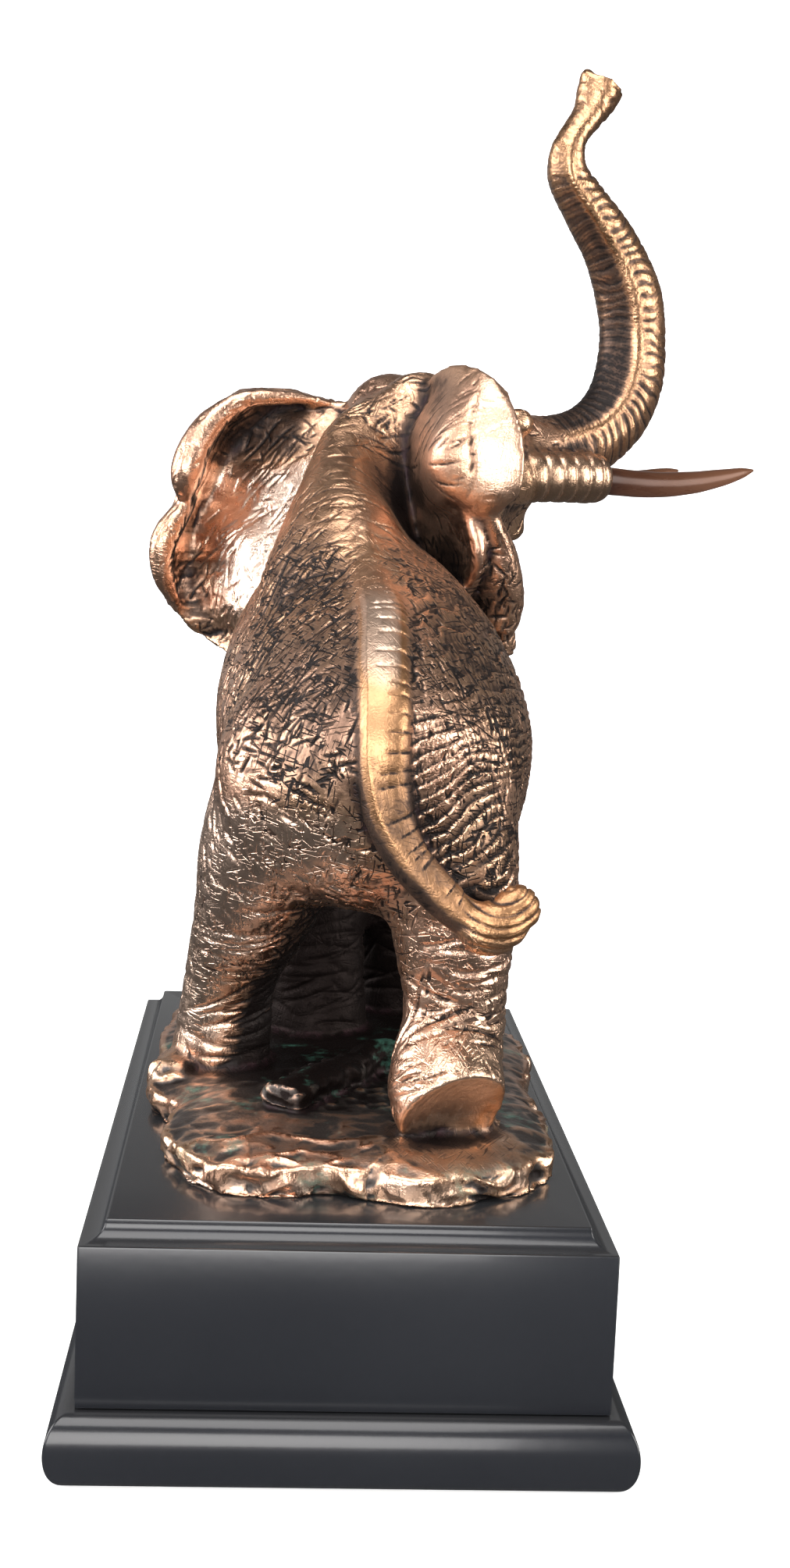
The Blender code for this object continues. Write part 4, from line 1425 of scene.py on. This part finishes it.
bronze = {
    "hatch": [  # direction across the dashes, waves per metre across and along, width, rarity
        ((0.22, 0, 1), 700, 60, 0.046, 0.50),
        ((-0.25, 0.1, 1), 600, 60, 0.046, 0.51),
        ((1, 0.6, 0.2), 680, 60, 0.046, 0.49),
        ((1, -0.6, -0.22), 620, 60, 0.046, 0.49),
        ((0.8, 0.3, 0.9), 560, 60, 0.042, 0.54),
    ],
    "copper": (0.75, 0.45, 0.315),
    "gold": (0.73, 0.45, 0.285),
    "brushed": (0.53, 0.285, 0.142),
    # near-white metal: a painted highlight and reflection
    "paintedSheenPale": (0.84, 0.65, 0.53),
    "brown": (0.125, 0.076, 0.054),
    "ashen": (0.105, 0.088, 0.080),
    "dark": (0.014, 0.0098, 0.009),
    "violet": (0.060, 0.028, 0.036),
    "verdigris": (0.045, 0.135, 0.10),
    "polish": 0.29,  # roughness of the rubbed metal
    "patina": 0.52,  # roughness of the patina
    "patinaPaintedLightTotal": {  # how much each layer or pattern adds to the patina, and to the painted shade and painted highlight mixed into it
        "wide": 0.7,
        "small": 0.34,
        "sink": 0.45,
        "crest": -0.40,
        "calm": -0.14,
        # painted shade: sheltered places are painted darker, as well as keeping patina
        "shade": 0.8,
        "level": 0.14,
        "patinaAndPaintedLight": 1.0,
        "cuts": 0.66,
    },
}


def hatching(tree, place):
    # thin straight dashes in a few directions, as left by a graver
    facing = addNode(tree, "NewGeometry").outputs["Normal"]
    total = None
    for direction, across, along, wide, few in bronze["hatch"]:
        way = Vector(direction).normalized()
        steps = maths(tree, "MULTIPLY", vectors(tree, "DOT_PRODUCT", place, way), across)
        apart = addNode(tree, "CombineXYZ", {0: steps, 1: steps, 2: steps}).outputs[0]
        laid = vectors(tree, "MULTIPLY_ADD", apart, way, vectors(tree, "MULTIPLY", place, (along,) * 3))
        sockets = {"Vector": laid, "Scale": 1.0, "Detail": 0.0}
        wave = addNode(tree, "TexNoise", sockets).outputs["Fac"]
        gap = maths(tree, "ABSOLUTE", maths(tree, "SUBTRACT", wave, 0.5))
        line = span(tree, gap, wide, 0.3 * wide)
        moved = vectors(tree, "ADD", place, way * across * mm)
        sockets = {"Vector": moved, "Scale": 330.0, "Detail": 1.0}
        patch = addNode(tree, "TexNoise", sockets).outputs["Fac"]
        line = maths(tree, "MULTIPLY", line, span(tree, patch, few, few + 0.03))
        turned = maths(tree, "ABSOLUTE", vectors(tree, "DOT_PRODUCT", facing, way))
        line = maths(tree, "MULTIPLY", line, span(tree, turned, 0.85, 0.6))
        total = line if total is None else maths(tree, "MAXIMUM", total, line)
    return total


def bronzeColour(tree, marks, left, moss):
    stone, patinaAndPaintedLight = marks["stone"], marks["patinaAndPaintedLight"]
    metal = blend(tree, span(tree, marks["wide"], 0.40, 0.62), bronze["copper"], bronze["gold"])
    metal = blend(tree, layer(tree, "gilt"), metal, bronze["brushed"])
    # painted highlight: the metal turns pale where the patina is rubbed below 0
    metal = blend(tree, span(tree, patinaAndPaintedLight, -0.08, -0.4), metal, bronze["paintedSheenPale"])
    brown = blend(tree, stone, bronze["brown"], bronze["ashen"])
    tarnish = blend(tree, span(tree, left, 0.0, 0.55), metal, brown)
    colour = blend(tree, span(tree, left, 0.45, 1.0), tarnish, bronze["dark"])
    sunk, spots = span(tree, marks["sink"], 0.3, 0.9), span(tree, marks["small"], 0.42, 0.6)
    deep = maths(tree, "MULTIPLY", sunk, spots, limit=True)
    colour = blend(tree, maths(tree, "MULTIPLY", deep, 0.6), colour, bronze["violet"])
    return blend(tree, maths(tree, "MULTIPLY", moss, 0.75), colour, bronze["verdigris"])


def bronzeBump(tree, place, marks):
    fine = speckle(tree, place, 1700, 2)
    brushed = speckle(tree, place, 900, 2, stretch=(1, 1, 0.12))
    bump = maths(tree, "MULTIPLY_ADD", brushed, 0.35, maths(tree, "MULTIPLY", fine, 0.35))
    worked = maths(tree, "MULTIPLY_ADD", marks["calm"], -0.85, 1.0)
    bump = maths(tree, "MULTIPLY_ADD", maths(tree, "MULTIPLY", marks["small"], worked), 0.38, bump)
    bump = maths(tree, "MULTIPLY_ADD", marks["cuts"], -1.4, bump)
    return addNode(tree, "Bump", {"Height": bump, "Strength": 0.6, "Distance": 0.0004}).outputs[0]


def bronzeFinish():
    made, tree, shader = shaderTree("rubbedCopperBronze")
    place = addNode(tree, "TexCoord").outputs["Object"]
    names = ("dirt", "sink", "crest", "stone", "calm", "shade", "patinaAndPaintedLight")
    marks = {name: layer(tree, name) for name in names}
    marks["wide"] = speckle(tree, place, 32, 3)
    marks["small"] = speckle(tree, place, 330, 5, roughness=0.62)
    clear = maths(tree, "MULTIPLY_ADD", marks["calm"], -0.9, 1.0)
    clear = maths(tree, "MULTIPLY", clear, layer(tree, "dashes"))
    clear = maths(tree, "MULTIPLY", clear, span(tree, marks["wide"], 0.38, 0.52, (0.25, 1.0)))
    marks["cuts"] = maths(tree, "MULTIPLY", hatching(tree, place), clear)
    # how much patina is left: in the cuts, between the forms, where it is sheltered, and in patches, with
    # painted shade and painted highlight mixed in
    amounts = {
        **marks,
        "wide": maths(tree, "SUBTRACT", marks["wide"], 0.5),
        "small": maths(tree, "SUBTRACT", marks["small"], 0.5),
        "shade": span(tree, marks["shade"], 0.38, 0.8),
        "level": layer(tree, "level"),
    }
    patinaPaintedLightTotal = marks["dirt"]
    for name, weight in bronze["patinaPaintedLightTotal"].items():
        patinaPaintedLightTotal = maths(tree, "MULTIPLY_ADD", amounts[name], weight, patinaPaintedLightTotal)
    left = span(tree, patinaPaintedLightTotal, 0.44, 1.0)
    moss = span(tree, speckle(tree, place, 75, 5, roughness=0.7), 0.56, 0.66)
    moss = maths(tree, "MULTIPLY", moss, marks["stone"], limit=True)
    metallic = maths(tree, "MULTIPLY_ADD", left, -0.35, 1.0, limit=True)
    metallic = maths(tree, "MULTIPLY_ADD", moss, -0.6, metallic, limit=True)
    rough = maths(tree, "MULTIPLY_ADD", left, bronze["patina"] - bronze["polish"], bronze["polish"])
    rough = maths(tree, "MULTIPLY_ADD", marks["calm"], 0.11, rough)
    rough = maths(tree, "MULTIPLY_ADD", amounts["small"], 0.25, rough, limit=True)
    # reflections dimmed where the painted shade and the patina lie
    specularDimmedInShadeAndPatina = span(tree, maths(tree, "MAXIMUM", marks["shade"], marks["patinaAndPaintedLight"]), 0.45, 0.8, (0.5, 0.1))
    sockets = {
        "Base Color": bronzeColour(tree, marks, left, moss),
        "Metallic": metallic,
        "Roughness": rough,
        "Normal": bronzeBump(tree, place, marks),
        "Specular IOR Level": specularDimmedInShadeAndPatina,
    }
    for name, value in sockets.items():
        tree.links.new(value, shader.inputs[name])
    return made


tusk = {
    "length": 57,
    "radius": 3.9,
    "spread": 14,
    "socket": 5,
    "base": (0.045, 0.0165, 0.009),
    "tip": (0.14, 0.062, 0.034),
    "dark": (0.03, 0.012, 0.008),
    "height": 3.0,
    "dip": 2.8,
    "rise": 4.9,
    "flare": 3.5,
    "uneven": 0.10,  # height of the waves left by the knife
    "ripple": 0.08,
}


def tuskPath(side):
    rows = []
    count = 17
    for i in range(count):
        t = i / (count - 1)
        radius = tusk["radius"] * math.sqrt(max(1 - t**2.4, 0.01))
        left = side * (tusk["spread"] + tusk["flare"] * t)
        high = tusk["height"] - tusk["dip"] * math.sin(math.pi * t) + tusk["rise"] * t
        forward = trunk["sheathEnd"] - tusk["socket"] + t * tusk["length"]
        rows.append((*inHead(forward, left, high), radius, radius))
    return rows


def placed(name, bm, height):
    mesh = bpy.data.meshes.new(name)
    bmesh.ops.transform(
        bm, matrix=Matrix.Scale(mm, 4) @ Matrix.Translation((0, 0, height)), verts=bm.verts
    )
    bm.to_mesh(mesh)
    bm.free()
    made = bpy.data.objects.new(name, mesh)
    bpy.context.scene.collection.objects.link(made)
    mesh.polygons.foreach_set("use_smooth", [True] * len(mesh.polygons))
    return made


def makeTusk(name, side, finish):
    bm = bmesh.new()
    rows = tuskPath(side)
    loft(bm, rows, up, steps=6, sides=40)
    root = Vector(rows[0][:3])
    for vert in bm.verts:
        along = (vert.co - root).dot(headForward) / tusk["length"]
        vert.co.z += tusk["uneven"] * noise.noise(vert.co / 7 + Vector((0, 0, side)))
        vert.co += headLeft * (tusk["ripple"] * math.sin(23 * along + side))
    made = placed(name, bm, castingBase)
    made.data.materials.append(finish)
    share = made.data.attributes.new("tipward", "FLOAT", "POINT")
    places = [(v.co / mm - root - up * castingBase).dot(headForward) for v in made.data.vertices]
    share.data.foreach_set("value", [place / tusk["length"] for place in places])
    return made


def tuskFinish():
    made, tree, shader = shaderTree("waxedDarkTusk")
    place = addNode(tree, "TexCoord").outputs["Object"]
    toTip = layer(tree, "tipward")
    streak = speckle(tree, place, 120, 4, stretch=(0.25, 0.35, 1.6))
    shade = maths(tree, "MULTIPLY_ADD", maths(tree, "SUBTRACT", streak, 0.5), 0.9, toTip)
    colour = blend(tree, span(tree, shade, 0.1, 1.05), tusk["base"], tusk["tip"])
    colour = blend(tree, span(tree, toTip, 0.16, 0.06), colour, tusk["dark"])
    tree.links.new(colour, shader.inputs["Base Color"])
    tree.links.new(span(tree, streak, 0.3, 0.7, (0.20, 0.34)), shader.inputs["Roughness"])
    shader.inputs["Metallic"].default_value = 0.2
    shader.inputs["Specular IOR Level"].default_value = 0.35
    raised = addNode(tree, "Bump", {"Height": streak, "Strength": 0.15, "Distance": 0.0004})
    tree.links.new(raised.outputs[0], shader.inputs["Normal"])
    return made


plinth = {
    "width": 112,
    "length": 206,
    "footHeight": 15.6,
    "footStandOut": 5.8,
    "gap": 0.3,
    "top": 55,
    "coveWidth": 5.2,
    "coveHeight": 4.2,
    "lip": 0.8,  # the small step outside the cove
    "arris": 0.5,  # corner radius of the block's upright edges
    "black": (0.0125, 0.0137, 0.0170),
    "worn": (0.0185, 0.0202, 0.0245),
    "film": (0.020, 0.0205, 0.022),  # a lighter tone on the surfaces that face up
    "dust": (0.42, 0.42, 0.42),
    "motes": (42.0, 0.024, 0.78),  # cells per metre, size in a cell, share of cells without one
}


def boardRing(x, y, radius, height):
    ring = []
    for turn, (sx, sy) in enumerate(((-1, -1), (1, -1), (1, 1), (-1, 1))):
        for k in range(5):
            angle = math.pi * (1 + turn / 2 + k / 8)
            ring.append(
                Vector(
                    (
                        sx * (x - radius) + radius * math.cos(angle),
                        sy * (y - radius) + radius * math.sin(angle),
                        height,
                    )
                )
            )
    return ring


def mouldedBoard(name, width, length, profile, finish):
    bm = bmesh.new()
    bridge(
        bm, [boardRing(width / 2 - inset, length / 2 - inset, arris, z) for inset, z, arris in profile]
    )
    made = placed(name, bm, 0)
    made.data.set_sharp_from_angle(angle=math.radians(40))
    made.data.materials.append(finish)
    return made


def makeFoot(finish):
    half = plinth["footHeight"] / 2
    profile = []
    for k in range(33):
        angle = math.pi * (k / 32 - 0.5)
        inset = plinth["footStandOut"] * 0.8 * (1 - math.cos(angle))
        profile.append((inset, half + half * math.sin(angle), 0.6))
    extra = 2 * plinth["footStandOut"]
    return mouldedBoard(
        "plinthFootBoard", plinth["width"] + extra, plinth["length"] + extra, profile, finish
    )


def makeBlock(finish):
    low = plinth["footHeight"] + plinth["gap"]
    shoulder = plinth["top"] - plinth["coveHeight"]
    arris = plinth["arris"]
    profile = [(0.35, low, arris), (0.1, low + 0.1, arris), (0, low + 0.35, arris)]
    profile += [(0, shoulder - 0.4, arris), (0.12, shoulder - 0.12, arris), (0.4, shoulder, arris)]
    lip = plinth["lip"]
    for k in range(17):
        angle = math.pi / 2 * k / 16
        inset = lip + (plinth["coveWidth"] - lip) * math.sin(angle)
        z = plinth["top"] - 0.5 - (plinth["coveHeight"] - 0.5) * math.cos(angle)
        profile.append((inset, z, arris))
    edge = plinth["coveWidth"]
    profile += [(edge + 0.1, plinth["top"] - 0.12, arris), (edge + 0.4, plinth["top"], arris)]
    return mouldedBoard("plinthBlockMoulded", plinth["width"], plinth["length"], profile, finish)


def lacquerFinish():
    made, tree, shader = shaderTree("satinBlackLacquer")
    place = addNode(tree, "TexCoord").outputs["Object"]
    cloud = speckle(tree, place, 14, 4)
    orange = speckle(tree, place, 420, 2)
    worn = span(tree, cloud, 0.4, 0.75, (0.0, 0.5))
    colour = blend(tree, worn, plinth["black"], plinth["worn"])
    normal = addNode(tree, "NewGeometry").outputs["Normal"]
    rise = addNode(tree, "SeparateXYZ", {0: normal}).outputs[2]
    film = span(tree, cloud, 0.2, 0.7, (0.6, 1.0))
    film = maths(tree, "MULTIPLY", span(tree, rise, 0.6, 1.0), film)
    colour = blend(tree, film, colour, plinth["film"])
    perMetre, size, without = plinth["motes"]
    cells = addNode(tree, "TexVoronoi", {"Vector": place, "Scale": perMetre}, feature="F1")
    chance = addNode(tree, "SeparateColor", {"Color": cells.outputs["Color"]}).outputs["Red"]
    small = maths(tree, "LESS_THAN", cells.outputs["Distance"], size)
    mote = maths(tree, "MULTIPLY", small, maths(tree, "GREATER_THAN", chance, without))
    colour = blend(tree, maths(tree, "MULTIPLY", mote, 0.8), colour, plinth["dust"])
    tree.links.new(colour, shader.inputs["Base Color"])
    tree.links.new(span(tree, cloud, 0.3, 0.7, (0.22, 0.27)), shader.inputs["Roughness"])
    shader.inputs["Coat Weight"].default_value = 0.3
    shader.inputs["Coat Roughness"].default_value = 0.1
    raised = addNode(tree, "Bump", {"Height": orange, "Strength": 0.06, "Distance": 0.0003})
    tree.links.new(raised.outputs[0], shader.inputs["Normal"])
    return made


def settle(piece, node):
    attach(piece, "root")
    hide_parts(node)


lacquer = lacquerFinish()
settle(makeFoot(lacquer), "plinth_foot")
settle(makeBlock(lacquer), "plinth_block")
print("plinth made")
ivoryBrown = tuskFinish()
settle(makeTusk("tuskLeftFine", 1, ivoryBrown), "tusk_left")
settle(makeTusk("tuskRightFine", -1, ivoryBrown), "tusk_right")
print("tusks made")
for piece in makeCasting(bronzeFinish()):
    settle(piece, "elephant_casting")

view = {
    "place": (-17.92, -490.09, 201.07),
    "yaw": 3.41,
    "pitch": 7.76,
    "roll": 2.34,
    "lens": 45.1,
}


def aimedMatrix(place, ahead, roll=0.0):
    right = ahead.cross(up).normalized()
    over = right.cross(ahead)
    c, s = math.cos(roll), math.sin(roll)
    made = Matrix((right * c + over * s, over * c - right * s, -ahead)).transposed().to_4x4()
    made.translation = place
    return made


def makeCamera():
    yaw, pitch = math.radians(view["yaw"]), math.radians(view["pitch"])
    ahead = Vector(
        (math.sin(yaw) * math.cos(pitch), math.cos(yaw) * math.cos(pitch), -math.sin(pitch))
    )
    lens = bpy.data.cameras.new("camera")
    lens.lens = view["lens"]
    lens.sensor_fit = "VERTICAL"
    lens.sensor_height = 36
    made = bpy.data.objects.new("camera", lens)
    made.matrix_world = aimedMatrix(Vector(view["place"]) * mm, ahead, math.radians(view["roll"]))
    bpy.context.scene.collection.objects.link(made)
    bpy.context.scene.camera = made


studio = {
    "lights": [  # name, place, aim, width, height, power in watts, colour
        ("topPanel", (-0.1, -0.35, 1.15), (0.0, 0.0, 0.15), 0.9, 0.9, 11, (1.0, 0.99, 0.98)),
        ("leftWindow", (-1.1, -0.05, 0.5), (0.0, 0.0, 0.2), 1.0, 0.9, 15, (1.0, 0.98, 0.98)),
        ("frontPanel", (-0.25, -1.45, 0.5), (0.0, 0.0, 0.12), 1.3, 0.8, 20, (1.0, 0.985, 0.97)),
        ("backPanel", (-0.25, 1.4, 0.55), (0.0, 0.0, 0.12), 1.9, 1.0, 1.6, (1.0, 1.0, 1.0)),
        ("rightWindow", (1.15, -0.35, 0.45), (0.0, 0.0, 0.16), 0.8, 0.9, 12, (1.0, 0.97, 0.93)),
    ],
    "ambient": 1.6,  # strength of the dim grey room round the panels
    "paper": (0.92, 0.92, 0.92),
}


def makeStudio():
    for name, place, aim, width, height, power, colour in studio["lights"]:
        lamp = bpy.data.lights.new(name, "AREA")
        lamp.shape = "RECTANGLE"
        lamp.size, lamp.size_y = width, height
        lamp.energy = power
        lamp.color = colour
        made = bpy.data.objects.new(name, lamp)
        made.matrix_world = aimedMatrix(Vector(place), (Vector(aim) - Vector(place)).normalized())
        bpy.context.scene.collection.objects.link(made)
    world = bpy.data.worlds.new("studio")
    world.use_nodes = True
    tree = world.node_tree
    room = tree.nodes["Background"]
    room.inputs["Strength"].default_value = studio["ambient"]
    paper = addNode(tree, "Background", {"Strength": 1.0})
    paper.inputs["Color"].default_value = (1, 1, 1, 1)
    seen = addNode(tree, "LightPath").outputs["Is Camera Ray"]
    chosen = addNode(tree, "MixShader", {0: seen, 1: room.outputs[0], 2: paper.outputs[0]})
    tree.links.new(chosen.outputs[0], tree.nodes["World Output"].inputs["Surface"])
    bpy.context.scene.world = world
    bpy.context.scene.view_settings.view_transform = "Standard"


def makeFloor():
    # a white paper sweep: flat under the plinth, curving up well behind it
    bm = bmesh.new()
    profile = [(-3.0, 0.0), (1.2, 0.0)]
    profile += [
        (1.2 + 0.8 * math.sin(a), 0.8 - 0.8 * math.cos(a))
        for a in [math.pi / 2 * k / 12 for k in range(1, 13)]
    ]
    profile.append((2.0, 2.4))
    rows = [[bm.verts.new((x, y, z)) for y, z in profile] for x in (-3.0, 3.0)]
    for i in range(len(profile) - 1):
        bm.faces.new((rows[0][i], rows[1][i], rows[1][i + 1], rows[0][i + 1]))
    mesh = bpy.data.meshes.new("paperSweep")
    bm.to_mesh(mesh)
    bm.free()
    mesh.polygons.foreach_set("use_smooth", [True] * len(mesh.polygons))
    floor = bpy.data.objects.new("paperSweep", mesh)
    bpy.context.scene.collection.objects.link(floor)
    made, tree, shader = shaderTree("whitePaper")
    shader.inputs["Base Color"].default_value = (*studio["paper"], 1)
    shader.inputs["Roughness"].default_value = 0.9
    shader.inputs["Specular IOR Level"].default_value = 0.0
    shader.inputs["Emission Color"].default_value = (1, 1, 1, 1)
    place = addNode(tree, "TexCoord").outputs["Object"]
    away = addNode(tree, "VectorMath", {0: place}, operation="LENGTH").outputs["Value"]
    tree.links.new(span(tree, away, 0.5, 1.3, (0.6, 1.0)), shader.inputs["Emission Strength"])
    mesh.materials.append(made)
    floor.visible_glossy = False


makeCamera()
makeStudio()
makeFloor()
print("camera, lights and floor set")
